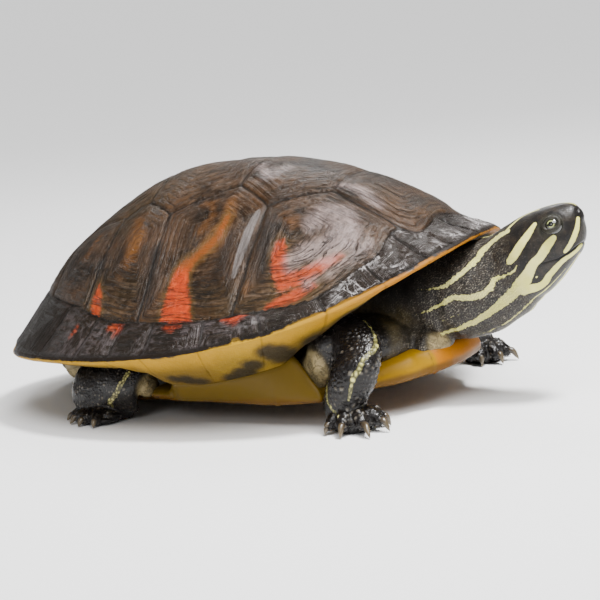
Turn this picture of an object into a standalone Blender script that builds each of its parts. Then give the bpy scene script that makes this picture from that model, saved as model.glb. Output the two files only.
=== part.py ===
"""A red-bellied cooter turtle, life size, standing with its neck out and its head raised.

Metres, +Z up. The turtle faces +X and its left side is +Y. The floor is z = 0.
The shell is drawn in shell lengths, flat on its belly, and then pitched and lifted.
"""

import math

import bmesh
import bpy
from mathutils import Matrix, Vector

# Driving dimensions of the whole animal
SHELL_LENGTH = 0.280
SHELL_PITCH = math.radians(3.3)
BELLY_LIFT = 0.00865
MIDDLE_X = -0.02408
GAP = 0.0003
MM = 0.001

# Carapace, in shell lengths: outline seen from above
HALF_WIDTH = 0.385
REAR_SPREAD = 0.033
FRONT_POWERS = (0.885, 0.943)
REAR_POWERS = (1.0, 1.05)
# Height of the rim round the shell, as powers of the cosine of the angle from the front
RIM_HEIGHTS = (0.125, 0.024, 0.057, 0.048)
# Height of the dome, and how its curve changes from the sides to the front and the rear
DOME_HEIGHT = 0.423
DOME_POWERS = (1.80, 0.13, 0.47)
FLARE_POWERS = (1.34, 0.12, -0.15)
WALL = 0.018
# The edge of the rim: where its rounding starts, its step in and its height
EDGE_START = 0.985
EDGE_STEP = 0.003
EDGE_HEIGHT = 0.009

# Seams between the scutes of the rim, as angles from the front, and the inner seam they end on
RIM_SEAMS = (3, 15, 24.5, 38, 53, 68, 81.5, 93, 102, 112, 127, 150, 180)
INNER_SEAM = ((0, 0.84), (16, 0.87), (22, 0.82), (36, 0.875), (54, 0.91),
              (74, 0.868), (98, 0.842), (130, 0.80), (155, 0.81), (180, 0.835))
# Where the seams of the side scutes reach the inner seam
SIDE_SEAM_ENDS = (21, 74.5, 98, 119, 143)
# Corners between the middle and side scutes of the left side, from front to rear
CORNERS = ((0.254, 0.096), (0.148, 0.150), (0.074, 0.108), (-0.060, 0.150),
           (-0.125, 0.108), (-0.178, 0.122), (-0.285, 0.085))
# Middle of each cross seam of the middle row
CROSS_SEAMS = (0.262, 0.085, -0.120, -0.275)
# How the slope of the dome is read: step, and the share beyond which it is read further in
SLOPE_STEP = 0.004
SLOPE_SHARE = 0.96
# Length of the faces along the seams of the back and of the belly
BACK_SEAM_STEP = 0.03
BELLY_SEAM_STEP = 0.05
GROOVE = 0.0008
GROOVE_SHARE = 0.06
GROOVE_ANGLE = 0.6
SEAM_WIDTH = 0.014
SWELL = 0.0007

# Underside of the rim: angle, how far in it reaches, how far it drops
LIP = ((0, 0.050, 0.005), (20, 0.052, 0.006), (34, 0.055, 0.011), (45, 0.060, 0.026),
       (55, 0.072, 0.046), (64, 0.085, 0.068), (84, 0.085, 0.067), (92, 0.083, 0.060),
       (98, 0.074, 0.034), (104, 0.064, 0.020), (130, 0.056, 0.014), (180, 0.050, 0.008))
# The bridge that joins belly and rim runs between these angles, and fades out beside them
BRIDGE = (53, 62, 91, 98)
# Step from the end of the lip in and up to the inside of the shell, which the wings also follow
STEP_IN = 0.017
STEP_UP = 0.010
# How far in the inside of the shell turns up, at the bridge and beside it
CORNER_IN = 0.046
CORNER_BESIDE = 0.018
# How far below the rim that corner lies, and how far under the dome beside the bridge
CORNER_LOW = 0.004
INSIDE_STEP = 0.012
INSIDE_WALL = WALL * 1.3
# Shares of the way out at which the lining and the body have their rows
LINING_SHARES = (0.28, 0.54, 0.74)

# Plastron: radius of its two lobes by polar angle, half width of its straight middle
LOBES = ((0, 0.437), (8, 0.435), (18, 0.412), (30, 0.374), (40, 0.345), (50, 0.400),
         (107, 0.275), (116, 0.232), (127, 0.243), (141, 0.285), (153, 0.340), (163, 0.378),
         (172, 0.390), (177, 0.372), (180, 0.362))
BELLY_HALF_WIDTH = 0.268
BELLY_THICKNESS = 0.020
# How much the plastron rises at its front and along its rear sides, where from and over what run
FRONT_RISE = 0.015
FRONT_RISE_FROM = 0.18
FRONT_RISE_RUN = 0.26
SIDE_RISE = 0.026
SIDE_RISE_FROM = 0.15
SIDE_RISE_RUN = 0.23
# How far in the top of the plastron lies from its edge: at its corner, and where it is flat
TOP_CORNER = (0.004, 0.022)
TOP_FLAT = 0.040
# Bulge of its side, and how far out the wing starts
SIDE_BULGE = 0.003
WING_REACH = 0.008
# The edge of the plastron is no further from the middle than its straight side at this sine
SIDE_SINE = 0.2
# Cross seams of the plastron: where each starts on the midline, and its polar angle at the edge
BELLY_SEAMS = ((0.372, 14), (0.300, 33), (0.165, 57), (-0.030, 99), (-0.260, 145))

# Body inside the shell: radius of its wall by polar angle
BODY_WALL = ((0, 0.275), (20, 0.255), (35, 0.235), (55, 0.225), (66, 0.225), (98, 0.220),
             (112, 0.190), (122, 0.176), (140, 0.180), (160, 0.270), (180, 0.325))
# Between these rim angles it reaches out into the bridge
BODY_BRIDGE = (70, 85)
# Gap to the shell, and the heights of its shoulder, its wall and its flat bottom
BODY_APART = 0.0024
BODY_TOP = 0.15
BODY_MIDDLE = 0.055
BODY_BOTTOM = BELLY_THICKNESS + 0.0016
BODY_FOOT = 0.02
BODY_FOOT_RISE = 0.008
BODY_SHOULDER = 0.012
BODY_CROWN = 0.003
# Room between the body and the shell in the bridge: inward and downward
BODY_IN_BRIDGE = (0.016, 0.012)
BODY_STEP = 8

# Head, in metres in its own frame: X forward from the tip of the snout, Z up
HEAD_TIP = (0.1877, 0.0, 0.088)
HEAD_PITCH = math.radians(20)
# Stations of the head: place, top, bottom, half width
HEAD_STATIONS = ((0.0024, 0.0108, 0.0022, 0.0034), (0.0004, 0.0130, -0.0046, 0.0062),
                 (-0.0040, 0.0148, -0.0102, 0.0096), (-0.0100, 0.0161, -0.0140, 0.0130),
                 (-0.0180, 0.0167, -0.0190, 0.0152), (-0.0270, 0.0165, -0.0232, 0.0170),
                 (-0.0360, 0.0152, -0.0255, 0.0172), (-0.0440, 0.0138, -0.0272, 0.0168))
# Roundness of the head's section, and the swelling of the neck behind it
HEAD_POWER = 0.9
NECK_SWELL = (0.003, 0.0004, 0.0012, 0.002)
EYE_CENTRE = (-0.0095, 0.0090, 0.0060)
EYE_RADIUS = 0.0052
LID_LENGTH = 0.0047
LID_HEIGHT = 0.0031
LID_THICKNESS = 0.0011
LID_DISTANCE = 0.0042
LID_RAISE = 0.0004
LID_STEPS = 16
LID_CORNERS = 6
# The way the left eye looks out, and the line from its rear to its front corner
EYE_LOOK = (0.22, 0.93, 0.28)
EYE_LINE = (1.0, -0.20, 0.12)
# Line of the mouth from the front to the corner and down behind the jaw: place, height
MOUTH = ((0.0090, -0.0058), (0.0000, -0.0068), (-0.0060, -0.0086), (-0.0130, -0.0100),
         (-0.0200, -0.0090), (-0.0245, -0.0135), (-0.0260, -0.0400))
NOSTRIL = (0.0022, 0.0021, 0.0086)
NOSTRIL_RADIUS = 0.0009
SNOUT_TIP = (0.0038, 0.0, 0.0066)
SHEET_HALF_WIDTH = 0.03
SHEET_THICKNESS = GAP * 1.1

# Colours of horn, skin and eye
SHELL_COLOUR = (0.10, 0.07, 0.055)
BELLY_COLOUR = (0.80, 0.42, 0.07)
SKIN_COLOUR = (0.06, 0.055, 0.045)
EYE_COLOUR = (0.55, 0.55, 0.25)
SHELL_ROUGHNESS = 0.35
BELLY_ROUGHNESS = 0.5
SKIN_ROUGHNESS = 0.6
HEAD_ROUGHNESS = 0.55
EYE_ROUGHNESS = 0.1

# Limbs, neck and tail, in millimetres from the point under the middle of the shell:
# place, half width and half height. Legs are given for the right side.
FORE_LEG = ((46, -30, 42, 12.5, 12), (66, -45, 42, 13, 12.5), (84, -59, 40, 12.5, 11.5),
            (93, -68, 37.5, 12.5, 9), (93.5, -75, 29, 12, 9.5), (86, -73, 14, 10.5, 10),
            (88, -71, 4, 10.5, 10))
# The left foreleg reaches further out than the right one
FAR_FORE_LEG = ((46, -30, 42, 12.5, 12), (64, -47, 41, 13, 12), (76, -63, 37, 12.5, 11),
                (82, -75, 32, 12, 10.5), (84, -84, 24, 11.5, 10), (86, -89, 13, 10.5, 9.5),
                (87, -89, 4, 10, 9))
HIND_LEG = ((-28, -28, 36, 13, 13), (-38, -44, 34, 15, 13), (-45, -56, 30, 18.5, 12),
            (-52, -65, 22, 20.5, 10.5), (-57.5, -67, 13, 20, 9), (-60, -65, 5, 16, 8))
NECK = ((56, 0, 49, 23, 23), (90, 0, 53, 24.5, 24), (112, 0, 55.5, 25, 24.5),
        (132, 0, 58.3, 23.5, 24.3))
TAIL = ((-64, 0, 36, 12, 12), (-98, 0, 27, 11.5, 11), (-116, 3, 21, 9, 9),
        (-129, 11, 15, 6.5, 6.5), (-134, 24, 9, 4.6, 4.6), (-132, 38, 6, 3, 3),
        (-127, 48, 4.5, 1.2, 1.2))
LEG_SIDE = Vector((1, 0, 0.3))
# Stations at which legs, neck and tail are parted: root, knee, ankle; the neck and tail end there
FORE_CUTS = (1, 3, 4.5)
HIND_CUTS = (1, 2.5, 4)
NECK_END = 3
TAIL_END = 5.9
RING_STEP = 0.5

# Feet: the way they point, in degrees from straight ahead
FORE_HEADING = -46
FAR_FORE_HEADING = 10
HIND_HEADING = -129
# Pad of the foot: how far ahead of the ankle, radii along and across, height, half thickness
FORE_PALM = (0.003, 0.0125, 0.0120, 0.0058, 0.0084)
HIND_PALM = (0.002, 0.0110, 0.0170, 0.0040, 0.0062)
HIND_WEB = (0.005, 0.010, 0.018, 0.0024, 0.0030)
# Toes: turn from the foot, distance of the root from the ankle, length, thickness, claw
FORE_TOES = ((-68, 0.005, 0.010, 0.0037, 0.006), (-34, 0.006, 0.011, 0.0039, 0.008),
             (0, 0.006, 0.011, 0.0039, 0.011), (34, 0.006, 0.010, 0.0038, 0.008),
             (68, 0.005, 0.009, 0.0035, 0.005))
HIND_TOES = ((-54, 0.009, 0.010, 0.0034, 0.004), (-27, 0.007, 0.009, 0.0036, 0.005),
             (0, 0.006, 0.009, 0.0036, 0.005), (29, 0.007, 0.009, 0.0035, 0.005),
             (58, 0.008, 0.009, 0.0032, 0.004))
# Height of a toe at its root, knuckle and tip, and its radii, in thicknesses
FORE_ARCH = (1.7, 2.3, 1.35)
HIND_ARCH = (1.15, 1.25, 0.85)
TOE_RADII = (1.1, 1.0, 0.8, 0.35)
TOE_ROUND = 0.5
TOE_CORNERS = 7
# Claw: how far back it starts, where it bends, its radii in toe thicknesses, its tip
CLAW_ROOT = 0.3
CLAW_BEND = 0.55
CLAW_RADII = (0.5, 0.38)
CLAW_TIP = 0.0003
CLAW_CORNERS = 5
CLAW_LOW = 0.0007

RING_POINTS = 14
FOOT_POINTS = 12
NECK_POINTS = 24
UP = Vector((0, 0, 1))


def sign_power(value, power):
    """Power of a number that keeps its sign."""
    return math.copysign(abs(value) ** power, value)


def blend_table(table, position, column=1):
    """Read a short table at a position, easing smoothly between its rows."""
    if position <= table[0][0]:
        return table[0][column]
    for low, high in zip(table, table[1:]):
        if position <= high[0]:
            share = (position - low[0]) / (high[0] - low[0])
            share = share * share * (3 - 2 * share)
            return low[column] + share * (high[column] - low[column])
    return table[-1][column]


def shell_point(x, y, z):
    """Turn a place in shell lengths into metres on the floor."""
    sine = math.sin(SHELL_PITCH)
    cosine = math.cos(SHELL_PITCH)
    forward = x * cosine - z * sine
    upward = x * sine + z * cosine
    return Vector((forward * SHELL_LENGTH + MIDDLE_X, y * SHELL_LENGTH, upward * SHELL_LENGTH + BELLY_LIFT))


def floor_point(x, y, z):
    """A place in millimetres from the point under the middle of the shell."""
    return Vector((x * MM + MIDDLE_X, y * MM, z * MM))


def rim_plan(angle):
    """Rim of the carapace seen from above, at an angle in degrees."""
    cosine = math.cos(math.radians(angle))
    sine = math.sin(math.radians(angle))
    powers = FRONT_POWERS if cosine > 0 else REAR_POWERS
    x = 0.5 * sign_power(cosine, powers[0])
    y = HALF_WIDTH * sign_power(sine, powers[1]) * (1 - REAR_SPREAD * cosine)
    return x, y


def rim_radius(angle):
    """Distance of the rim from the middle of the shell."""
    return math.hypot(*rim_plan(angle))


def rim_height(angle):
    """Height of the rim above the belly."""
    cosine = math.cos(math.radians(angle))
    return sum(part * cosine ** power for power, part in enumerate(RIM_HEIGHTS))


def dome_height(share, angle):
    """Height of the dome at a share of the way from its middle to the rim."""
    cosine = math.cos(math.radians(angle))
    dome = DOME_POWERS[0] + DOME_POWERS[1] * cosine + DOME_POWERS[2] * cosine ** 2
    flare = FLARE_POWERS[0] + FLARE_POWERS[1] * cosine + FLARE_POWERS[2] * cosine ** 2
    fall = (1 - min(share, 1.0) ** dome) ** flare
    rim = rim_height(angle)
    return rim + (DOME_HEIGHT - rim) * fall


def share_and_angle(x, y):
    """The share and the rim angle of a place seen from above."""
    polar = math.atan2(abs(y), x)
    low = 0.0
    high = 180.0
    for _ in range(30):
        middle = (low + high) / 2
        rim_x, rim_y = rim_plan(middle)
        if math.atan2(rim_y, rim_x) < polar:
            low = middle
        else:
            high = middle
    return math.hypot(x, y) / rim_radius(low), low


def dome_place(x, y, lift=0.0):
    """A place on the dome, moved out by a lift in shell lengths."""
    share, angle = share_and_angle(x, y)
    height = dome_height(share, angle)
    if lift == 0:
        return Vector((x, y, height))
    inner = min(1.0, SLOPE_SHARE / max(share, 0.001))
    centre_x = x * inner
    centre_y = y * inner
    slopes = []
    for dx, dy in ((SLOPE_STEP, 0), (0, SLOPE_STEP)):
        ahead = dome_height(*share_and_angle(centre_x + dx, centre_y + dy))
        behind = dome_height(*share_and_angle(centre_x - dx, centre_y - dy))
        slopes.append((ahead - behind) / (2 * SLOPE_STEP))
    normal = Vector((-slopes[0], -slopes[1], 1)).normalized()
    return Vector((x, y, height)) + normal * lift


def bridge_share(angle):
    """1 where the belly joins the rim, 0 at the leg, neck and tail openings."""
    start, full, end_full, end = BRIDGE
    turn = abs(angle)
    if turn <= start or turn >= end:
        return 0.0
    if turn < full:
        share = (turn - start) / (full - start)
    elif turn > end_full:
        share = (end - turn) / (end - end_full)
    else:
        return 1.0
    return share * share * (3 - 2 * share)


def radial(angle, radius, height):
    """A place at a distance from the middle, in the direction of a rim angle."""
    x, y = rim_plan(angle)
    scale = radius / math.hypot(x, y)
    return Vector((x * scale, y * scale, height))


def seam_columns():
    """Angles round the rim, each marked True where a seam between rim scutes runs."""
    half = []
    edges = (-3,) + RIM_SEAMS
    for start, end in zip(edges, edges[1:]):
        inside = [start + GROOVE_ANGLE]
        ends = [turn for turn in SIDE_SEAM_ENDS if start + 1 < turn < end - 1]
        inside += ends if ends else [(start + end) / 2]
        inside.append(end - GROOVE_ANGLE)
        half += [(turn, False) for turn in inside] + [(end, True)]
    right = [(-turn, seam) for turn, seam in half if 3 <= turn < 180]
    return sorted(right + half)


COLUMNS = seam_columns()
SEAMS_ROUND = [turn for turn, seam in COLUMNS if seam]
PLATE_TURNS = [turn for turn, seam in COLUMNS
               if seam or min(abs(turn - other) for other in SEAMS_ROUND + [-180]) > 1]


def inner_seam_share(angle):
    """Share of the way to the rim at which the inner seam runs."""
    return blend_table(INNER_SEAM, abs(angle))


def inner_seam_plan(angle):
    """Place of the inner seam seen from above."""
    x, y = rim_plan(angle)
    share = inner_seam_share(angle)
    return x * share, y * share


def lip(angle):
    """Width and drop of the underside of the rim."""
    turn = abs(angle)
    return blend_table(LIP, turn, 1), blend_table(LIP, turn, 2)


def rim_rows(angle, seam):
    """Section of the rim from the inner seam over the edge to the end of its underside."""
    radius = rim_radius(angle)
    start = inner_seam_share(angle)
    height = rim_height(angle)
    width, drop = lip(angle)
    sink = GROOVE / SHELL_LENGTH if seam else 0.0
    rows = [dome_place(*inner_seam_plan(angle), -GROOVE / SHELL_LENGTH)]
    x, y = rim_plan(angle)
    for share in (start + SEAM_WIDTH, (start + 1) / 2, EDGE_START):
        rows.append(dome_place(x * share, y * share, -sink))
    low = height - EDGE_HEIGHT
    rows.append(radial(angle, radius - sink, height - EDGE_STEP))
    rows.append(radial(angle, radius - EDGE_STEP - sink, low))
    rows.append(radial(angle, radius - width * 0.5, low - drop * 0.5 + sink))
    rows.append(radial(angle, radius - width, low - drop))
    return rows


def lining_rows(angle):
    """Section of the inside of the shell, from the end of the lip to high in the dome."""
    radius = rim_radius(angle)
    height = rim_height(angle)
    width, drop = lip(angle)
    joined = bridge_share(angle)
    lip_end = height - EDGE_HEIGHT - drop
    free_top = dome_height(1 - (width + INSIDE_STEP) / radius, angle) - INSIDE_WALL
    corner_top = joined * (height - CORNER_LOW) + (1 - joined) * free_top
    corner_in = joined * CORNER_IN + (1 - joined) * (width + CORNER_BESIDE)
    rows = [radial(angle, radius - width - STEP_IN, lip_end + STEP_UP)]
    rows.append(radial(angle, radius - corner_in, corner_top))
    x, y = rim_plan(angle)
    for share in reversed(LINING_SHARES):
        rows.append(dome_place(x * share, y * share, -WALL))
    return rows


def outline_between(start, end):
    """Places on the inner seam from one angle to another, without the last."""
    turns = [turn for turn, _ in COLUMNS if min(start, end) <= turn <= max(start, end)]
    if start > end:
        turns.reverse()
    return [inner_seam_plan(turn) for turn in turns[:-1]]


def straight(start, end, step=BACK_SEAM_STEP):
    """Places on a straight seam, without the last."""
    length = math.hypot(end[0] - start[0], end[1] - start[1])
    count = max(2, round(length / step))
    return [(start[0] + (end[0] - start[0]) * k / count,
             start[1] + (end[1] - start[1]) * k / count) for k in range(count)]


def chain(points):
    """Join corners by straight seams, without the last corner."""
    places = []
    for start, end in zip(points, points[1:]):
        places += straight(start, end)
    return places


def mirrored(points):
    """The same places on the other side of the midline."""
    return [(x, -y) for x, y in points]


def scute_outlines():
    """Outline of each middle and side scute, seen from above."""
    first, second, third, fourth, fifth, sixth, seventh = CORNERS
    ends = [inner_seam_plan(turn) for turn in SIDE_SEAM_ENDS]
    side_paths = ([ends[0], first, second, ends[1]], [ends[1], second, third, fourth, ends[2]],
                  [ends[2], fourth, fifth, sixth, ends[3]], [ends[3], sixth, seventh, ends[4]])
    outlines = []
    for index, path in enumerate(side_paths):
        back = outline_between(SIDE_SEAM_ENDS[index + 1], SIDE_SEAM_ENDS[index])
        outline = chain(path) + back
        outlines += [outline, mirrored(outline)]
    crosses = [(x, 0.0) for x in CROSS_SEAMS]
    front, rear = SIDE_SEAM_ENDS[0], SIDE_SEAM_ENDS[-1]
    left = [chain([ends[0], first, crosses[0]]),
            chain([crosses[0], first, second, third, crosses[1]]),
            chain([crosses[1], third, fourth, fifth, crosses[2]]),
            chain([crosses[2], fifth, sixth, seventh, crosses[3]]),
            chain([crosses[3], seventh, ends[4]])]
    ahead = outline_between(-front, front)
    behind = outline_between(rear, 180) + [inner_seam_plan(180)]
    outlines.append(left[0] + [crosses[0]] + mirrored(left[0])[:0:-1] + ahead)
    for index in (1, 2, 3):
        outlines.append(left[index] + [crosses[index]] + mirrored(left[index])[:0:-1])
    outlines.append(left[4] + behind + mirrored(behind)[-2::-1] + mirrored(left[4])[:0:-1])
    return outlines


def add_scute(mesh, outline, place, edge_lift=None):
    """Raise one plate: a sunk outline, a ring on the surface and a low swelling inside."""
    count = len(outline)
    centre = (sum(x for x, _ in outline) / count, sum(y for _, y in outline) / count)
    sink = -GROOVE / SHELL_LENGTH
    rings = []
    for share, lift in ((0.0, sink), (GROOVE_SHARE, 0.0), (0.5, SWELL / SHELL_LENGTH)):
        ring = []
        for index, (x, y) in enumerate(outline):
            if share == 0.0 and edge_lift is not None:
                lift = edge_lift[index]
            plan_x = x + (centre[0] - x) * share
            plan_y = y + (centre[1] - y) * share
            ring.append(mesh.verts.new(place(plan_x, plan_y, lift)))
        rings.append(ring)
    top = mesh.verts.new(place(*centre, SWELL / SHELL_LENGTH))
    join_rings(mesh, rings)
    for index in range(count):
        mesh.faces.new((rings[-1][index], rings[-1][(index + 1) % count], top))


def join_rings(mesh, rings):
    """Join rings of vertices by bands of faces."""
    count = len(rings[0])
    for lower, upper in zip(rings, rings[1:]):
        for index in range(count):
            after = (index + 1) % count
            mesh.faces.new((lower[index], lower[after], upper[after], upper[index]))


def cap_ring(mesh, ring, place):
    """Close a ring of vertices with a fan to one place."""
    tip = mesh.verts.new(place)
    for index in range(len(ring)):
        mesh.faces.new((ring[index], ring[(index + 1) % len(ring)], tip))


def finish_mesh(mesh, name):
    """Weld, turn the faces outward, split them in triangles and make the object."""
    bmesh.ops.remove_doubles(mesh, verts=mesh.verts, dist=0.02 * MM)
    bmesh.ops.triangulate(mesh, faces=mesh.faces)
    bmesh.ops.recalc_face_normals(mesh, faces=mesh.faces)
    data = bpy.data.meshes.new(name)
    mesh.to_mesh(data)
    mesh.free()
    data.shade_smooth()
    data.set_sharp_from_angle(angle=math.radians(40))
    thing = bpy.data.objects.new(name, data)
    bpy.context.scene.collection.objects.link(thing)
    return thing


def make_material(name, colour, roughness):
    """Plain surface of one colour."""
    material = bpy.data.materials.new(name)
    material.use_nodes = True
    surface = material.node_tree.nodes["Principled BSDF"]
    surface.inputs["Base Color"].default_value = (*colour, 1)
    surface.inputs["Roughness"].default_value = roughness
    surface.inputs["Metallic"].default_value = 0.0
    return material


def paint(thing, colour, roughness):
    """Give an object its own material."""
    thing.data.materials.clear()
    thing.data.materials.append(make_material(thing.name + "_surface", colour, roughness))
    return thing


def make_carapace():
    """Upper shell: raised scutes outside, a smooth lining inside."""
    mesh = bmesh.new()

    def place(x, y, lift):
        return shell_point(*dome_place(x, y, lift))

    for outline in scute_outlines():
        add_scute(mesh, outline, place)
    columns = []
    for angle, seam in COLUMNS:
        rows = rim_rows(angle, seam) + lining_rows(angle)
        columns.append([mesh.verts.new(shell_point(*row)) for row in rows])
    rings = [list(ring) for ring in zip(*columns)]
    join_rings(mesh, rings)
    cap_ring(mesh, rings[-1], shell_point(0, 0, DOME_HEIGHT - WALL))
    return paint(finish_mesh(mesh, "carapace"), SHELL_COLOUR, SHELL_ROUGHNESS)


def belly_radius(angle):
    """Radius of the edge of the plastron, by rim angle."""
    x, y = rim_plan(abs(angle))
    polar = math.degrees(math.atan2(y, x))
    lobe = blend_table(LOBES, polar)
    straight_side = BELLY_HALF_WIDTH / max(math.sin(math.radians(polar)), SIDE_SINE)
    return min(lobe, straight_side)


def belly_height(x, y):
    """Height of the lower face of the plastron: it rises at its front and along its rear sides."""
    front = min(max((x - FRONT_RISE_FROM) / FRONT_RISE_RUN, 0.0), 1.0)
    rear = min(max((SIDE_RISE_FROM - x) / SIDE_RISE_RUN, 0.0), 1.0)
    return FRONT_RISE * front * front + SIDE_RISE * rear * (abs(y) / BELLY_HALF_WIDTH) ** 4


def belly_edge(angle):
    """Place on the lower edge of the plastron, seen from above."""
    place = radial(angle, belly_radius(angle), 0)
    return place.x, place.y


def belly_rows(angle):
    """Section of the plastron from its lower edge up its side and in over its top."""
    radius = belly_radius(angle)
    place = radial(angle, radius, 0)
    low = belly_height(place.x, place.y)
    joined = bridge_share(angle)
    width, drop = lip(angle)
    shell_radius = rim_radius(angle)
    lip_end = rim_height(angle) - EDGE_HEIGHT - drop
    apart = GAP * 1.4 / SHELL_LENGTH
    outer = (shell_radius - width - apart * 0.5, lip_end - apart)
    inner = (shell_radius - width - STEP_IN - apart * 0.5, lip_end + STEP_UP - apart)
    top = low + BELLY_THICKNESS
    bulge = (radius + SIDE_BULGE, low + BELLY_THICKNESS * 0.5)
    rows = []
    steps = ((bulge, (radius + WING_REACH, BELLY_THICKNESS)), ((radius - TOP_CORNER[0], top), outer),
             ((radius - TOP_CORNER[1], top), inner),
             ((radius - TOP_FLAT, top), (radius - TOP_CORNER[1], BELLY_THICKNESS)))
    for free, wing in steps:
        reach = free[0] + joined * (wing[0] - free[0])
        height = free[1] + joined * (wing[1] - free[1])
        rows.append(radial(angle, reach, height))
    rows.append(radial(angle, radius * 0.5, BELLY_THICKNESS))
    return rows


def nearest_column(polar):
    """Rim angle of the column whose direction lies nearest to a polar angle."""
    turns = [turn for turn in PLATE_TURNS if turn >= 0]
    return min(turns, key=lambda turn: abs(math.degrees(math.atan2(*rim_plan(turn)[::-1])) - polar))


def make_plastron():
    """Lower shell: twelve raised plates below, wings at the sides that meet the carapace."""
    mesh = bmesh.new()

    def place(x, y, lift):
        return shell_point(x, y, belly_height(x, y) - lift)

    turns = [0] + [nearest_column(polar) for _, polar in BELLY_SEAMS] + [180]
    middles = [belly_edge(0)] + [(x, 0.0) for x, _ in BELLY_SEAMS] + [belly_edge(180)]
    sink = -GROOVE / SHELL_LENGTH
    for index in range(len(BELLY_SEAMS) + 1):
        edge = [belly_edge(turn) for turn in PLATE_TURNS if turns[index] <= turn <= turns[index + 1]]
        outline = straight(middles[index + 1], middles[index], BELLY_SEAM_STEP)
        if index:
            outline += straight(middles[index], edge[0], BELLY_SEAM_STEP)
        outline += edge
        if index < len(BELLY_SEAMS):
            outline += straight(edge[-1], middles[index + 1], BELLY_SEAM_STEP)[1:]
        else:
            outline = outline[1:]
        lifts = [0.0 if spot in edge else sink for spot in outline]
        add_scute(mesh, outline, place, lifts)
        add_scute(mesh, mirrored(outline), place, lifts)
    columns = []
    for angle in PLATE_TURNS:
        lower_edge = Vector((*belly_edge(angle), belly_height(*belly_edge(angle))))
        rows = [lower_edge] + belly_rows(angle)
        columns.append([mesh.verts.new(shell_point(*row)) for row in rows])
    rings = [list(ring) for ring in zip(*columns)]
    join_rings(mesh, rings)
    cap_ring(mesh, rings[-1], shell_point(0, 0, BELLY_THICKNESS))
    return paint(finish_mesh(mesh, "plastron"), BELLY_COLOUR, BELLY_ROUGHNESS)


def add_ring(mesh, centre, forward, side, half_width, half_height, count):
    """An oval ring of vertices across a direction."""
    ahead = forward.normalized()
    across = (side - ahead * side.dot(ahead)).normalized()
    above = ahead.cross(across)
    ring = []
    for index in range(count):
        turn = 2 * math.pi * index / count
        ring.append(mesh.verts.new(centre + across * (math.cos(turn) * half_width)
                                   + above * (math.sin(turn) * half_height)))
    return ring


def path_at(stations, position):
    """Place, width and height on a smooth path through stations."""
    last = len(stations) - 1
    index = min(int(position), last - 1)
    share = position - index
    before = stations[max(index - 1, 0)]
    start = stations[index]
    end = stations[index + 1]
    after = stations[min(index + 2, last)]
    values = []
    for a, b, c, d in zip(before, start, end, after):
        values.append(0.5 * (2 * b + (c - a) * share + (2 * a - 5 * b + 4 * c - d) * share ** 2
                             + (3 * b - a - 3 * c + d) * share ** 3))
    return values


def limb_rings(mesh, stations, start, end, count, side, flip=1):
    """Rings of a limb between two positions of its path, half a gap short at each cut."""
    rings = []
    steps = max(1, round((end - start) / RING_STEP))
    for index in range(steps + 1):
        position = start + (end - start) * index / steps
        x, y, z, half_width, half_height = path_at(stations, position)
        ahead = path_at(stations, min(position + 0.02, len(stations) - 1.0001))
        behind = path_at(stations, max(position - 0.02, 0.0))
        forward = Vector((ahead[0] - behind[0], (ahead[1] - behind[1]) * flip,
                          ahead[2] - behind[2])).normalized()
        centre = floor_point(x, y * flip, z)
        if index == 0:
            centre += forward * (GAP / 2)
        if index == steps:
            centre -= forward * (GAP / 2)
        rings.append(add_ring(mesh, centre, forward, side, half_width * MM, half_height * MM, count))
    return rings


def close_rings(mesh, rings):
    """Join rings and close both ends with flat caps."""
    join_rings(mesh, rings)
    for ring in (rings[0], rings[-1]):
        middle = sum((vertex.co for vertex in ring), Vector()) / len(ring)
        cap_ring(mesh, ring, middle)


def make_limb(name, stations, start, end, side, flip=1, count=RING_POINTS):
    """A closed length of a limb."""
    mesh = bmesh.new()
    close_rings(mesh, limb_rings(mesh, stations, start, end, count, side, flip=flip))
    return finish_mesh(mesh, name)


def apply_modifiers(thing):
    """Keep what the modifiers of an object make as its mesh."""
    graph = bpy.context.evaluated_depsgraph_get()
    data = bpy.data.meshes.new_from_object(thing.evaluated_get(graph))
    thing.modifiers.clear()
    old = thing.data
    thing.data = data
    bpy.data.meshes.remove(old)
    return thing


def combine(thing, others, operation, solver="EXACT"):
    """Join an object with others or cut them out of it, and remove them."""
    group = bpy.data.collections.new(thing.name + "_group")
    bpy.context.scene.collection.children.link(group)
    for other in others:
        group.objects.link(other)
    joint = thing.modifiers.new("Combine", "BOOLEAN")
    joint.operation = operation
    joint.operand_type = "COLLECTION"
    joint.collection = group
    joint.solver = solver
    apply_modifiers(thing)
    for other in others:
        bpy.data.objects.remove(other, do_unlink=True)
    bpy.data.collections.remove(group)
    return thing


def split_bodies(thing):
    """Vertices of each closed body of an object, the largest body first."""
    mesh = bmesh.new()
    mesh.from_mesh(thing.data)
    left = set(mesh.verts)
    bodies = []
    while left:
        group = set()
        queue = [left.pop()]
        while queue:
            vertex = queue.pop()
            group.add(vertex.index)
            for edge in vertex.link_edges:
                other = edge.other_vert(vertex)
                if other in left:
                    left.remove(other)
                    queue.append(other)
        bodies.append(group)
    mesh.free()
    return sorted(bodies, key=len, reverse=True)


def keep_body(thing, group, name):
    """A new object that holds one closed body of another."""
    mesh = bmesh.new()
    mesh.from_mesh(thing.data)
    loose = [vertex for vertex in mesh.verts if vertex.index not in group]
    bmesh.ops.delete(mesh, geom=loose, context="VERTS")
    return finish_mesh(mesh, name)


def keep_largest(thing):
    """Keep only the largest closed surface of an object, under its own name."""
    name = thing.name
    group = split_bodies(thing)[0]
    thing.name = name + "_old"
    kept = keep_body(thing, group, name)
    bpy.data.objects.remove(thing, do_unlink=True)
    return kept


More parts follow.
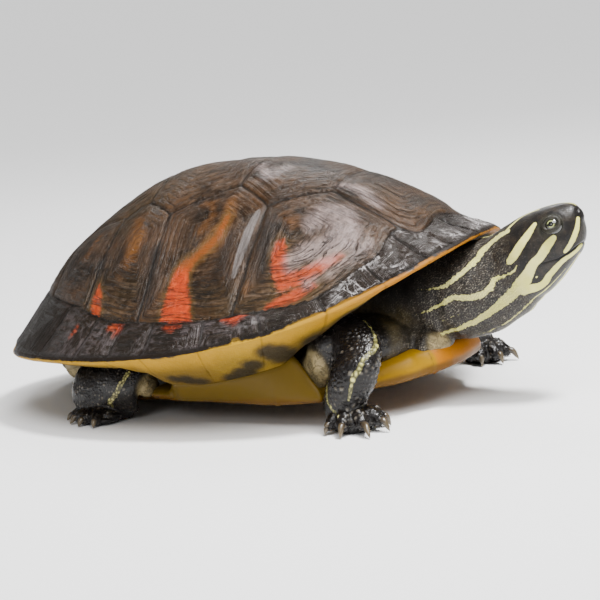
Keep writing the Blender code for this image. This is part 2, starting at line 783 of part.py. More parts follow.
def torso_rows(angle):
    """Section of the body from high under the dome down to the plastron."""
    radius = rim_radius(angle)
    x, y = rim_plan(angle)
    polar = math.degrees(math.atan2(abs(y), x))
    wall = blend_table(BODY_WALL, polar)
    rows = []
    for share in LINING_SHARES:
        rows.append(dome_place(x * share, y * share, -WALL - BODY_APART))
    if BODY_BRIDGE[0] < abs(angle) < BODY_BRIDGE[1]:
        inward, downward = BODY_IN_BRIDGE
        rows.append(radial(angle, radius - CORNER_IN - inward, rim_height(angle) - downward))
    else:
        rows.append(radial(angle, wall + BODY_SHOULDER, BODY_TOP))
    rows.append(radial(angle, wall, BODY_MIDDLE))
    foot = radial(angle, wall - BODY_FOOT, 0)
    foot.z = BODY_BOTTOM + BODY_FOOT_RISE + belly_height(foot.x, foot.y)
    rows.append(foot)
    return rows


def make_torso(stubs):
    """Body inside the shell, with the roots of the neck, tail and legs on it."""
    mesh = bmesh.new()
    columns = []
    for angle in range(BODY_STEP - 180, 181, BODY_STEP):
        columns.append([mesh.verts.new(shell_point(*row)) for row in torso_rows(angle)])
    rings = [list(ring) for ring in zip(*columns)]
    join_rings(mesh, rings)
    cap_ring(mesh, rings[0], shell_point(0, 0, DOME_HEIGHT - WALL - BODY_CROWN))
    cap_ring(mesh, rings[-1], shell_point(0, 0, BODY_BOTTOM))
    torso = finish_mesh(mesh, "torso")
    combine(torso, stubs, "UNION")
    return paint(keep_largest(torso), SKIN_COLOUR, SKIN_ROUGHNESS)


def head_matrix():
    """Placement of the head's own frame."""
    place = floor_point(HEAD_TIP[0] / MM, HEAD_TIP[1] / MM, HEAD_TIP[2] / MM)
    return Matrix.Translation(place) @ Matrix.Rotation(-HEAD_PITCH, 4, "Y")


def head_ring(mesh, station, count=NECK_POINTS, shift=0.0):
    """Ring of the head at one station."""
    place, top, bottom, half_width = station
    middle = (top + bottom) / 2
    matrix = head_matrix()
    ring = []
    for index in range(count):
        turn = 2 * math.pi * index / count
        y = half_width * sign_power(math.cos(turn), HEAD_POWER)
        z = middle + (top - bottom) / 2 * sign_power(math.sin(turn), HEAD_POWER)
        ring.append(mesh.verts.new(matrix @ Vector((place + shift, y, z))))
    return ring


def make_neck():
    """Neck, from the body to the back of the head."""
    mesh = bmesh.new()
    rings = limb_rings(mesh, NECK, 1, NECK_END, NECK_POINTS, Vector((0, 1, 0)))
    back = HEAD_STATIONS[-1]
    behind, above, below, wider = NECK_SWELL
    bulge = (back[0] - behind, back[1] + above, back[2] - below, back[3] + wider)
    rings.append(head_ring(mesh, bulge, shift=-GAP))
    rings.append(head_ring(mesh, back, shift=-GAP))
    close_rings(mesh, rings)
    return paint(finish_mesh(mesh, "neck"), SKIN_COLOUR, SKIN_ROUGHNESS)


def make_ball(name, centre, radius, segments=16, rings=9):
    """A round body of small faces."""
    mesh = bmesh.new()
    bmesh.ops.create_uvsphere(mesh, u_segments=segments, v_segments=rings, radius=radius)
    bmesh.ops.translate(mesh, verts=mesh.verts, vec=centre)
    return finish_mesh(mesh, name)


def eye_place(side):
    """Centre of an eye in the head's own frame."""
    return Vector((EYE_CENTRE[0], EYE_CENTRE[1] * side, EYE_CENTRE[2]))


def make_lids(side):
    """Upper and lower lid of one eye, as a raised oval ring."""
    mesh = bmesh.new()
    matrix = head_matrix()
    outward = Vector((EYE_LOOK[0], EYE_LOOK[1] * side, EYE_LOOK[2])).normalized()
    along = Vector((EYE_LINE[0], EYE_LINE[1] * side, EYE_LINE[2])).normalized()
    across = outward.cross(along).normalized()
    rings = []
    for index in range(LID_STEPS):
        turn = 2 * math.pi * index / LID_STEPS
        direction = (outward * LID_DISTANCE + along * (math.cos(turn) * LID_LENGTH)
                     + across * (math.sin(turn) * LID_HEIGHT)).normalized()
        centre = eye_place(side) + direction * (EYE_RADIUS + LID_RAISE)
        tangent = (across * math.cos(turn) * LID_HEIGHT
                   - along * math.sin(turn) * LID_LENGTH).normalized()
        inward = tangent.cross(direction).normalized()
        ring = []
        for corner in range(LID_CORNERS):
            bend = 2 * math.pi * corner / LID_CORNERS
            spot = centre + (direction * math.cos(bend) + inward * math.sin(bend)) * LID_THICKNESS
            ring.append(mesh.verts.new(matrix @ spot))
        rings.append(ring)
    join_rings(mesh, rings + [rings[0]])
    return finish_mesh(mesh, "lids")


def make_mouth_cut():
    """A thin sheet along the line of the mouth and down behind the jaw."""
    mesh = bmesh.new()
    matrix = head_matrix()
    rings = []
    for offset in (SHEET_THICKNESS / 2, -SHEET_THICKNESS / 2):
        edge = []
        for index, (x, z) in enumerate(MOUTH):
            before = MOUTH[max(index - 1, 0)]
            after = MOUTH[min(index + 1, len(MOUTH) - 1)]
            run = Vector((after[0] - before[0], 0, after[1] - before[1])).normalized()
            across = Vector((-run.z, 0, run.x))
            edge.append(Vector((x, 0, z)) + across * offset)
        rings.append(edge)
    outline = rings[0] + rings[1][::-1]
    sides = []
    for y in (-SHEET_HALF_WIDTH, SHEET_HALF_WIDTH):
        sides.append([mesh.verts.new(matrix @ Vector((spot.x, y, spot.z))) for spot in outline])
    join_rings(mesh, sides)
    count = len(MOUTH)
    for side in sides:
        for index in range(count - 1):
            other = 2 * count - 1 - index
            mesh.faces.new((side[index], side[index + 1], side[other - 1], side[other]))
    mesh.normal_update()
    return finish_mesh(mesh, "mouth_cut")


def make_head():
    """Head with lids, nostrils and eye sockets, and the lower jaw parted from it."""
    mesh = bmesh.new()
    rings = [head_ring(mesh, station) for station in HEAD_STATIONS]
    join_rings(mesh, rings)
    matrix = head_matrix()
    cap_ring(mesh, rings[0], matrix @ Vector(SNOUT_TIP))
    back = HEAD_STATIONS[-1]
    cap_ring(mesh, rings[-1], matrix @ Vector((back[0], 0, (back[1] + back[2]) / 2)))
    head = finish_mesh(mesh, "head_whole")
    combine(head, [make_lids(1), make_lids(-1)], "UNION")
    cuts = [make_mouth_cut()]
    for side in (1, -1):
        cuts.append(make_ball("socket", matrix @ eye_place(side), EYE_RADIUS + GAP))
        nostril = Vector((NOSTRIL[0], NOSTRIL[1] * side, NOSTRIL[2]))
        cuts.append(make_ball("nostril", matrix @ nostril, NOSTRIL_RADIUS, 8, 6))
    combine(head, cuts, "DIFFERENCE")
    bodies = split_bodies(head)
    paint(keep_body(head, bodies[0], "head"), SKIN_COLOUR, HEAD_ROUGHNESS)
    paint(keep_body(head, bodies[1], "lower_jaw"), SKIN_COLOUR, HEAD_ROUGHNESS)
    bpy.data.objects.remove(head, do_unlink=True)
    for side, name in ((1, "eye_left"), (-1, "eye_right")):
        eye = make_ball(name, matrix @ eye_place(side), EYE_RADIUS)
        paint(eye, EYE_COLOUR, EYE_ROUGHNESS)


def make_blob(centre, radii, turn=0.0):
    """A rounded pad."""
    mesh = bmesh.new()
    bmesh.ops.create_uvsphere(mesh, u_segments=12, v_segments=7, radius=1.0)
    bmesh.ops.scale(mesh, verts=mesh.verts, vec=radii)
    bmesh.ops.rotate(mesh, verts=mesh.verts, matrix=Matrix.Rotation(turn, 3, "Z"))
    bmesh.ops.translate(mesh, verts=mesh.verts, vec=centre)
    return finish_mesh(mesh, "pad")


def make_taper(places, radii, count):
    """A tapering rod of rings through a few places."""
    mesh = bmesh.new()
    rings = []
    for index, place in enumerate(places):
        before = places[max(index - 1, 0)]
        after = places[min(index + 1, len(places) - 1)]
        rings.append(add_ring(mesh, place, after - before, UP.cross(after - before),
                              radii[index], radii[index], count))
    close_rings(mesh, rings)
    return finish_mesh(mesh, "taper")


def make_toe(root, heading, toe, arch):
    """One toe and its claw, arched over its knuckle and then down to the floor."""
    _, _, length, thickness, claw = toe
    ahead = Vector((math.cos(heading), math.sin(heading), 0))
    low, high, end_height = (height * thickness for height in arch)
    tip = root + ahead * length + UP * end_height
    places = [root + UP * low, root + ahead * length / 2 + UP * high, tip,
              tip + ahead * thickness * TOE_ROUND]
    digit = make_taper(places, [thickness * share for share in TOE_RADII], TOE_CORNERS)
    start = tip - ahead * thickness * CLAW_ROOT
    bend = start + ahead * (claw * CLAW_BEND)
    end = Vector((start.x, start.y, 0)) + ahead * claw + UP * CLAW_LOW
    radii = [thickness * share for share in CLAW_RADII] + [CLAW_TIP]
    return [digit, make_taper([start, bend, end], radii, CLAW_CORNERS)]


def cut_level(thing):
    """Cut an object flat where it meets the floor."""
    mesh = bmesh.new()
    mesh.from_mesh(thing.data)
    everything = list(mesh.verts) + list(mesh.edges) + list(mesh.faces)
    bmesh.ops.bisect_plane(mesh, geom=everything, plane_co=(0, 0, 0), plane_no=(0, 0, 1),
                           clear_inner=True, dist=1e-7)
    open_edges = [edge for edge in mesh.edges if edge.is_boundary]
    bmesh.ops.holes_fill(mesh, edges=open_edges, sides=0)
    bmesh.ops.triangulate(mesh, faces=mesh.faces)
    mesh.to_mesh(thing.data)
    mesh.free()
    return thing


def make_foot(name, stations, start, flip, heading, palm, toes, arch, web=None):
    """Foot: ankle, palm, toes and claws in one body, flat on the floor."""
    ankle_end = len(stations) - 1.0001
    foot = make_limb(name, stations, start, ankle_end, LEG_SIDE, flip, FOOT_POINTS)
    x, y, _, _, _ = stations[-1]
    ankle = floor_point(x, y * flip, 0)
    ahead = Vector((math.cos(heading), math.sin(heading), 0))
    pieces = [make_blob(ankle + ahead * palm[0] + UP * palm[3], (palm[1], palm[2], palm[4]), heading)]
    if web:
        pieces.append(make_blob(ankle + ahead * web[0] + UP * web[3], (web[1], web[2], web[4]), heading))
    for toe in toes:
        turn = heading + math.radians(toe[0]) * -flip
        root = ankle + Vector((math.cos(turn), math.sin(turn), 0)) * toe[1]
        pieces += make_toe(root, turn, toe, arch)
    combine(foot, pieces, "UNION", "MANIFOLD")
    return paint(keep_largest(cut_level(foot)), SKIN_COLOUR, SKIN_ROUGHNESS)


def make_leg(name, side, stations, cuts, flip):
    """The upper and the lower length of one leg."""
    for part, start, end in ("upper", *cuts[:2]), ("lower", *cuts[1:]):
        piece = make_limb(f"{name}_{part}_{side}", stations, start, end, LEG_SIDE, flip)
        paint(piece, SKIN_COLOUR, SKIN_ROUGHNESS)


def make_legs():
    """All four legs, each in three lengths, and the stubs that root them in the body."""
    stubs = []
    for side, flip in (("right", 1), ("left", -1)):
        fore = FORE_LEG if flip > 0 else FAR_FORE_LEG
        stubs.append(make_limb("stub", fore, 0, 1, LEG_SIDE, flip))
        make_leg("foreleg", side, fore, FORE_CUTS, flip)
        heading = math.radians(FORE_HEADING if flip > 0 else FAR_FORE_HEADING)
        make_foot("forefoot_" + side, fore, FORE_CUTS[-1], flip, heading, FORE_PALM, FORE_TOES, FORE_ARCH)
        stubs.append(make_limb("stub", HIND_LEG, 0, 1, LEG_SIDE, flip))
        make_leg("hindleg", side, HIND_LEG, HIND_CUTS, flip)
        heading = math.radians(HIND_HEADING * flip)
        make_foot("hindfoot_" + side, HIND_LEG, HIND_CUTS[-1], flip, heading, HIND_PALM, HIND_TOES,
                  HIND_ARCH, HIND_WEB)
    return stubs


def build():
    """Make every part of the turtle."""
    for thing in list(bpy.data.objects):
        bpy.data.objects.remove(thing, do_unlink=True)
    make_carapace()
    make_plastron()
    make_head()
    make_neck()
    stubs = make_legs()
    stubs.append(make_limb("stub", NECK, 0, 1, Vector((0, 1, 0)), count=NECK_POINTS))
    stubs.append(make_limb("stub", TAIL, 0, 1, UP))
    paint(make_limb("tail", TAIL, 1, TAIL_END, UP, count=FOOT_POINTS), SKIN_COLOUR, SKIN_ROUGHNESS)
    make_torso(stubs)


build()
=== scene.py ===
"""Looks of a standing red-bellied cooter turtle, laid out as a Blender add-on."""

import math
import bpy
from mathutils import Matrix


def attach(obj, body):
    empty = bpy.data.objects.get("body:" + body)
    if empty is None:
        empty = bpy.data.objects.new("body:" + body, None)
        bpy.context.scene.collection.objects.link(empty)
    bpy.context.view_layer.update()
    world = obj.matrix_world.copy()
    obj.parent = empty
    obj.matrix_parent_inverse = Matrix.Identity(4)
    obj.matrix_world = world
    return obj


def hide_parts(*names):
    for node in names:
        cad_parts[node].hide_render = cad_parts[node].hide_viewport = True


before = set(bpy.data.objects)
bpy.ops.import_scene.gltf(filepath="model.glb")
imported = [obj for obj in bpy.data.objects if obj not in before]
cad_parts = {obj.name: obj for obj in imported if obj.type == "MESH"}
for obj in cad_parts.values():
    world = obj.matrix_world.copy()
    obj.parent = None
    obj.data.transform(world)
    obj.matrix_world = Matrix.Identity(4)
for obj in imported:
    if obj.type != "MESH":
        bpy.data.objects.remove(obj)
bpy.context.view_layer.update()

from types import SimpleNamespace

import bmesh
import bpy
import numpy as np
from bpy.props import FloatProperty, FloatVectorProperty, PointerProperty
from bpy.types import Operator, Panel, PropertyGroup
from mathutils import Matrix, Vector
from mathutils.bvhtree import BVHTree
from mathutils.kdtree import KDTree

bl_info = {
    "name": "Red-bellied cooter",
    "version": (1, 0, 0),
    "blender": (4, 5, 0),
    "location": "3D View > Sidebar > Turtle",
    "description": "A turtle with its floor, lights and camera",
    "category": "Object",
}

# Placement of the whole animal, in metres; the shell is drawn in shell lengths
SHELL_LENGTH = 0.28
SHELL_PITCH = math.radians(3.3)
BELLY_LIFT = 0.00865
MIDDLE = np.array([-0.02408, 0.0, 0.0])
MM = 0.001
UP = np.array([0.0, 0.0, 1.0])

# Carapace outline, rim height and dome
HALF_WIDTH = 0.385
REAR_SPREAD = 0.033
FRONT_POWERS = (0.885, 0.943)
REAR_POWERS = (1.0, 1.05)
RIM_HEIGHTS = (0.125, 0.024, 0.057, 0.048)
DOME_HEIGHT = 0.423
DOME_POWERS = (1.8, 0.13, 0.47)
FLARE_POWERS = (1.34, 0.12, -0.15)
WALL = 0.018
EDGE_HEIGHT = 0.009
EDGE_ROUNDING = 0.0035
# Hollow behind the front rim, and fullness above the hind legs: size in millimetres,
# share of the way out and its reach, angle and its reach
FRONT_DIP = (2.6, 0.87, 0.06, 0, 30)
REAR_BULGE = (3.4, 0.67, 0.15, 147, 26)

# Seams: rim seams by angle from the front, the seam inside the rim by share of the way out
RIM_SEAMS = (3, 15, 24.5, 38, 53, 68, 81.5, 93, 102, 112, 127, 150, 180)
INNER_SEAM = ((0, 0.84), (16, 0.87), (22, 0.82), (36, 0.875), (54, 0.91),
              (74, 0.868), (98, 0.842), (130, 0.8), (155, 0.81), (180, 0.835))
SIDE_SEAM_ENDS = (21, 74.5, 98, 119, 143)
CORNERS = ((0.254, 0.096), (0.148, 0.15), (0.074, 0.108), (-0.06, 0.15),
           (-0.125, 0.108), (-0.178, 0.122), (-0.285, 0.085))
CROSS_SEAMS = (0.262, 0.085, -0.12, -0.275)
# Oldest part of each scute, which its growth rings surround
SIDE_AREOLAS = ((0.215, 0.19), (0.062, 0.2), (-0.11, 0.196), (-0.225, 0.17))
MIDDLE_AREOLAS = (0.335, 0.165, -0.03, -0.205, -0.345)

# Relief of the carapace, in millimetres
AREOLA_HEIGHT = 0.6
RIDGE_HEIGHT = 0.2
WRINKLE_HEIGHT = 0.15
LUMP_HEIGHT = 0.45
CRUMPLE_HEIGHT = 0.08
FRONT_CRUMPLE = 0.22
# Depth and width of the seams, and how far they stray, in millimetres
SEAM_DEPTH = 1.0
SEAM_WIDTH = 0.75
RIM_SEAM_DEPTH = 0.55
UNDER_SEAM_DEPTH = 0.6
UNDER_SEAM_WIDTH = 0.5
BELLY_SEAM_DEPTH = 0.7
BELLY_SEAM_WIDTH = 0.7
SEAM_CROOK = 0.8

# Underside of the rim: angle, how far in it reaches, how far it drops
LIP = ((0, 0.05, 0.005), (20, 0.052, 0.006), (34, 0.055, 0.011), (45, 0.06, 0.026),
       (55, 0.072, 0.046), (64, 0.085, 0.068), (84, 0.085, 0.067), (92, 0.083, 0.06),
       (98, 0.074, 0.034), (104, 0.064, 0.02), (130, 0.056, 0.014), (180, 0.05, 0.008))
BRIDGE = (53, 62, 91, 98)
STEP_IN = 0.017
STEP_UP = 0.01
CORNER_IN = 0.046
CORNER_BESIDE = 0.018

# Plastron
LOBES = ((0, 0.437), (8, 0.435), (18, 0.412), (30, 0.374), (40, 0.345), (50, 0.4),
         (107, 0.275), (116, 0.232), (127, 0.243), (141, 0.285), (153, 0.34), (163, 0.378),
         (172, 0.39), (177, 0.372), (180, 0.362))
BELLY_HALF_WIDTH = 0.268
BELLY_THICKNESS = 0.02
FRONT_THICKER = 0.032
SHELL_GAP = 0.0012
FRONT_RISE = (0.18, 0.26, 0.015)
SIDE_RISE = (0.15, 0.23, 0.026)
BELLY_SEAMS = ((0.372, 14), (0.3, 33), (0.165, 57), (-0.03, 99), (-0.26, 145))
# Rim angles of the brown smudges on the edge of the plastron
BELLY_SMUDGES = (70, 92)
# Width of the body inside the shell, by direction from its middle
BODY_WALL = ((0, 0.275), (20, 0.255), (35, 0.235), (55, 0.225), (66, 0.225), (98, 0.22),
             (112, 0.19), (122, 0.176), (140, 0.18), (160, 0.27), (180, 0.325))

# A mark's number where there is no mark
NOWHERE = -9.0
# Marks of the shell from above, in thousandths of its length: place along, place beside, half
# width. Red bars on the side scutes
RED_BARS = (
    ((23, 332, 36), (20, 309, 28), (13, 282, 21), (9, 252, 14),
     (30, 236, 8), (50, 220, 7), (67, 200, 7), (74, 172, 5)),
    ((195, 212, 10), (199, 228, 14), (207, 245, 15), (222, 264, 15),
     (249, 255, 13), (273, 239, 12), (295, 222, 10), (312, 208, 5)),
    ((204, 304, 5), (229, 291, 10), (252, 280, 11), (276, 262, 7)),
    ((-165, 308, 12), (-166, 292, 12), (-168, 280, 11), (-172, 262, 9), (-176, 246, 3)),
)
# Smaller red marks just outside the inner seam
RIM_MARKS = (
    ((-203, 303, 5), (-210, 309, 3)),
    ((-118, 322, 4), (-92, 324, 5), (-102, 336, 2)),
    ((6, 335, 3), (23, 337, 6), (38, 335, 2)),
    ((120, 321, 5), (146, 324, 9), (164, 314, 3)),
)
# Duller golden and orange-brown patches beside and above the bars
WARM_PATCHES = (
    ((10, 142, 8), (30, 146, 12), (40, 165, 12), (26, 190, 8)),
    ((12, 255, 18), (30, 236, 17), (50, 220, 17), (68, 200, 16), (74, 172, 14),
     (68, 142, 8)),
    ((-130, 150, 16), (-118, 186, 22), (-116, 212, 18), (-121, 232, 8)),
    ((186, 168, 10), (208, 174, 12)),
    ((149, 280, 4), (152, 278, 4)),
    ((-235, 170, 12), (-220, 140, 6)),
)
# Blacker patches between them
DARK_PATCHES = (
    ((2, 150, 12), (14, 180, 13), (6, 205, 8)),
    ((155, 170, 10), (163, 215, 18), (176, 262, 12)),
    ((-60, 220, 14), (-50, 290, 12)),
    ((90, 200, 10), (85, 270, 14)),
)
# Painted sheen: silvery reflections painted on the horn, and a bare pale strip beside a seam
PAINTED_SHEENS = (
    ((240, 170, 16), (262, 146, 22), (296, 146, 26), (308, 176, 26),
     (284, 210, 24), (252, 218, 20), (226, 236, 12)),
    ((262, 262, 6), (300, 236, 8), (330, 205, 8), (350, 175, 6)),
    ((258, 78, 6), (300, 72, 15), (336, 88, 8)),
    ((150, 60, 10), (120, 90, 12), (90, 50, 12)),
)
PALE_STRIPS = (
    ((133, 164, 5), (127, 189, 8), (124, 216, 9), (122, 241, 8), (121, 262, 4)),
)
# Dark smudges under the rim and a paler one on the bridge, in body millimetres, with their sizes; the one
# 74 along is painted shade beside the foreleg
RIM_SMUDGES_AND_SHADE = ((1, -91, 28, 3.6), (7, -90, 27, 5.0), (13, -87, 26, 4.2), (30, -84, 28, 4.2),
               (37, -85, 31, 5.8), (44, -88, 35, 5.2), (55, -91, 44, 6.0), (58, -87, 42, 7.4),
               (60, -82, 38, 7.2), (62, -76, 34, 6.4), (74, -76, 43, 7.0), (-62, -88, 38, 5.0))

# Head, in its own frame: X forward from the tip of the snout, Z up; the tip is in metres
HEAD_TIP = (0.1877, 0.0, 0.088)
HEAD_PITCH = math.radians(20)
# Places along the head, heights of top and bottom, half width, in tenths of a millimetre
HEAD_STATIONS = np.array(((24, 108, 22, 34), (4, 130, -46, 62), (-40, 148, -102, 96),
                          (-100, 161, -140, 130), (-180, 167, -190, 152), (-270, 165, -232, 170),
                          (-360, 152, -255, 172), (-440, 138, -272, 168))) / 10000
# Eyes, mouth and nostrils, in metres
EYE_CENTRE = (-0.0095, 0.009, 0.006)
EYE_RADIUS = 0.0052
EYE_LOOK = (0.22, 0.93, 0.28)
EYE_LINE = (1.0, -0.2, 0.12)
LID_LENGTH = 0.0047
LID_HEIGHT = 0.0031
LID_THICKNESS = 0.0011
LID_DISTANCE = 0.0042
MOUTH = ((0.009, -0.0058), (0.0, -0.0068), (-0.006, -0.0086), (-0.013, -0.01),
         (-0.02, -0.009))
NOSTRIL = (0.0022, 0.0021, 0.0086)

# Limbs, neck and tail, in millimetres from the point under the middle of the shell:
# place, half width and half height; legs are given for the right side
FORE_LEG = ((46, -30, 42, 12.5, 12), (66, -45, 43, 13, 12.5), (84, -59, 42.5, 12.5, 12),
            (93, -68, 37.5, 12.5, 9), (93.5, -75, 29, 12, 9.5), (86, -73, 14, 10.5, 10),
            (88, -71, 4, 10.5, 10))
FAR_FORE_LEG = ((46, -30, 42, 12.5, 12), (64, -47, 41, 13, 12), (76, -63, 37, 12.5, 11),
                (82, -75, 32, 12, 10.5), (84, -84, 24, 11.5, 10), (86, -89, 13, 10.5, 9.5),
                (87, -89, 4, 10, 9))
HIND_LEG = ((-28, -28, 36, 13, 13), (-38, -44, 34, 15, 13), (-45, -56, 30, 18.5, 12),
            (-52, -65, 22, 20.5, 10.5), (-57.5, -67, 13, 20, 9), (-60, -65, 5, 16, 8))
NECK = ((50, 0, 49, 23, 23), (90, 0, 53, 24.5, 24), (112, 0, 55.5, 25, 24.5),
        (132, 0, 58.3, 23.5, 24.3))
TAIL = ((-64, 0, 36, 12, 12), (-98, 0, 27, 11.5, 11), (-116, 3, 21, 9, 9),
        (-129, 11, 15, 6.5, 6.5), (-134, 24, 9, 4.6, 4.6), (-132, 38, 6, 3, 3),
        (-127, 48, 4.5, 1.2, 1.2))
LEG_SIDE = np.array([1.0, 0.0, 0.3])
FORE_HEADING = -46
FAR_FORE_HEADING = 10
HIND_HEADING = -129
# Pads of the feet: how far ahead of the ankle, radii along and across, height, half thickness
FORE_PADS = ((3, 12.5, 12, 5.8, 8.4),)
HIND_PADS = ((2, 11, 17, 4.0, 6.2), (5, 10, 18, 2.4, 3.0))
# Toes: turn from the foot, distance of the root from the ankle, length, thickness, claw
FORE_TOES = ((-68, 5, 10, 3.7, 4), (-34, 6, 11, 3.9, 6), (0, 6, 11, 3.9, 10),
             (34, 6, 10, 3.8, 6), (68, 5, 9, 3.5, 4))
FAR_CLAWS = 0.65
# Thickness of a toe from its root to its end, and of its claw, in shares of the toe's
TOE_TAPER = (1.25, 1.15, 1.05, 0.9, 0.5)
CLAW_TAPER = (0.52, 0.44, 0.28, 0.03)
HIND_TOES = ((-54, 9, 10, 3.4, 4), (-27, 7, 9, 3.6, 5), (0, 6, 9, 3.6, 5),
             (29, 7, 9, 3.5, 5), (58, 8, 9, 3.2, 4))
# Height of a toe at its root, knuckle and tip, in thicknesses
FORE_ARCH = (1.7, 2.3, 1.35)
HIND_ARCH = (1.15, 1.25, 0.85)
# Webs between the toes, in millimetres
WEB_HEIGHT = 3.0
WEB_THICKNESS = 2.4
# Legs and their sides, 1 for the right; forelegs also with their foot's heading and claws' share
LEGS = ((FORE_LEG, 1), (FAR_FORE_LEG, -1), (HIND_LEG, 1), (HIND_LEG, -1))
FORE_LIMBS = ((1, FORE_LEG, FORE_HEADING, 1.0), (-1, FAR_FORE_LEG, FAR_FORE_HEADING, FAR_CLAWS))
# Loose skin between the shells, in body millimetres on the right side: place, radii
SKIN_PADS = (
    ((78, -27, 35), (26, 27, 14)), ((95, -14, 32), (24, 18, 10)), ((65, -61, 27), (8, 9, 13)),
    ((72, -60, 35), (11, 11, 13)), ((77, -63, 42), (9, 9, 8)), ((-72, -46, 33), (16, 11, 12)),
    ((-82, -45, 25), (12, 11, 9)), ((-33, -64, 18), (6, 7, 6)),
)
# Middles of the wrinkled slack skin beside them, and where it begins and ends to fade
SLACK_SPOTS = ((68, -70, 30), (112, -20, 33))
SLACK_REACH = (12, 16)
# Steps in which the softening of the joints fades out
SMOOTH_LEVELS = 20
# Scales of the skin and their relief, in millimetres; hidden skin is plain
SMALL_SCALE = 1.3
LEG_SCALE = 2.1
SHIN_SCALE = 3.6
HIDDEN_SCALE = 4.0
SMALL_RELIEF = 0.22
LEG_RELIEF = 0.34
SHIN_RELIEF = 0.55
MOUTH_DEPTH = 0.55
NOSTRIL_DEPTH = 1.3

# Pale stripes on the right side of head and neck, in body millimetres: place and half width
HEAD_STRIPES = (
    ((168, -12, 92, 1.1), (165, -14, 87, 1.8), (161, -16, 81.5, 2.2), (157, -17, 76, 2.2),
     (155, -17, 74, 1.6)),
    ((178, -13, 85, 1.3), (175, -14, 81.5, 2.2), (171, -15, 76, 2.1), (167, -16, 72, 2.3),
     (164, -16, 67, 3.0), (160, -15.5, 62, 3.6), (155, -15, 57.5, 3.0), (149, -17, 52.5, 2.4),
     (143, -18, 48.5, 2.0), (136, -19, 44.5, 1.7), (128, -19, 41, 1.4), (120, -17, 38, 1.2),
     (115, -17, 37, 0.8)),
    ((190, -3, 79, 1.1), (185, -6, 76, 1.3), (180, -9, 73, 1.5), (173, -10, 67, 1.8),
     (168, -9, 63, 2.4), (160, -12, 60, 3.0)),
    ((188, -4, 93, 1.1), (188, -6, 88.5, 1.3), (185, -8, 82, 1.4), (182, -9, 78, 1.2)),
    ((153, -10, 88, 1.2), (147, -9, 86, 1.8), (141, -10, 81, 1.8), (137, -16, 75, 1.6),
     (131, -20, 69, 1.4), (125, -23, 65, 1.1), (122, -24, 63, 0.7), (114, -24, 61.5, 0.3),
     (104, -24, 61, 0.1)),
    ((167, -3, 98, 0.5), (162, -2.5, 96.5, 0.7), (157, -5, 94, 0.7), (153, -8, 91, 0.8),
     (151, -9, 88, 1.0)),
    ((159, -17, 72, 0.2), (157, -17, 69, 0.4), (152, -17, 67, 0.6), (147, -18, 65, 1.0),
     (144.5, -19.5, 61, 1.5), (139, -22, 57.5, 1.6), (132, -24, 57, 1.5), (126, -24, 57, 1.3),
     (120, -24.5, 54, 0.9), (112, -24, 50.5, 0.5), (104, -24, 48, 0.2)),
    ((130, -22, 49, -0.3), (125, -23, 47, -0.1), (119, -22, 45, -0.1), (110, -22, 42, -0.3)),
    ((186, 0, 75, 0.8), (176, 0, 66, 1.2), (160, 0, 54, 1.2), (140, 0, 41, 1.0), (100, 0, 31, 1.0)),
    ((180, -5, 68, 0.1), (168, -7, 58, 0.4), (150, -8, 44, 0.4), (130, -9, 37, 0.1)),
    ((188, 0, 103, 0.5), (176, 0, 105, 0.6), (160, 0, 100, 0.8), (140, 0, 90, 0.8), (100, 0, 78, 0.6)),
)
# A dark tongue that the stripes leave free behind the corner of the mouth, and a painted highlight on it
DARK_CORE = ((177, -12, 75, 0.5), (173, -13, 73, 1.2), (169, -13, 67, 1.6))
HIGHLIGHT_DOT = ((168, -14, 66, 0.5), (167.8, -14, 65.8, 0.5))
FORE_STRIPES = (
    ((93, -57, 55, 0.4), (100, -62, 51, 0.6), (105, -68, 46, 0.8), (105, -73, 41, 1.2),
     (102, -79, 38, 1.3), (100, -82, 33, 1.2), (97, -84, 28, 1.1), (95, -84, 22, 0.9),
     (93, -83, 17, 0.6)),
    ((82, -76, 30, 0.5), (80, -82, 20, 0.8), (82, -84, 13, 0.8), (88, -86, 10, 0.5)),
)
HIND_STRIPES = (
    ((-37, -75, 27, 1.0), (-41, -78, 21, 1.5), (-46, -77, 15, 1.4), (-50, -76, 12, 1.1),
     (-49, -75, 9, 0.7)),
)
# Where soft skin is palest, with its reach: armpit, groin, behind the hind leg, root of the neck
PALE_FOLDS = (((68, -70, 28), (9, 9, 13)), ((-31, -67, 18), (8, 8, 8)), ((-86, -50, 22), (13, 12, 12)),
              ((112, -20, 33), (12, 9, 7)))

# Camera, from the photo: place, the way its right side and its back point, focal length
CAMERA_PLACE = (0.57977, -1.07769, 0.25645)
CAMERA_RIGHT = (0.88501, 0.45749, -0.08635)
CAMERA_BACK = (0.46557, -0.8694, 0.16547)
CAMERA_LENS = 140.3
# Floor, in metres: half its side, and how far below the soles it lies
FLOOR_HALF = 14.0
FLOOR_DROP = 0.0002
# Lamps: place, what they point at and width, in metres
KEY_LAMP = ((0.42, -0.05, 0.95), (0.05, -0.03, 0.08), 0.2)
FILL_LAMP = ((0.15, -1.5, 0.75), (0.0, 0.0, 0.05), 0.5)
REAR_LAMP = ((-0.35, 0.8, 0.8), (0.0, 0.0, 0.05), 0.4)
SUN_TILT = (math.radians(22), math.radians(24), 0.0)
SUN_WIDTH = math.radians(40)


# Small helpers for numbers and meshes

def signed_power(values, power):
    """Power of numbers that keeps their sign."""
    return np.sign(values) * np.abs(values) ** power


def ease(values, low, high):
    """0 below low, 1 above high, smooth between."""
    share = np.clip((values - low) / (high - low), 0.0, 1.0)
    return share * share * (3 - 2 * share)


def ease_table(table, position, column=1):
    """Read a table at many positions, easing between its rows."""
    rows = np.array(table, float)
    place = np.asarray(position, float)
    low = np.clip(np.searchsorted(rows[:, 0], place, side="right") - 1, 0, len(rows) - 2)
    share = ease(place, rows[low, 0], rows[low + 1, 0])
    return rows[low, column] + share * (rows[low + 1, column] - rows[low, column])


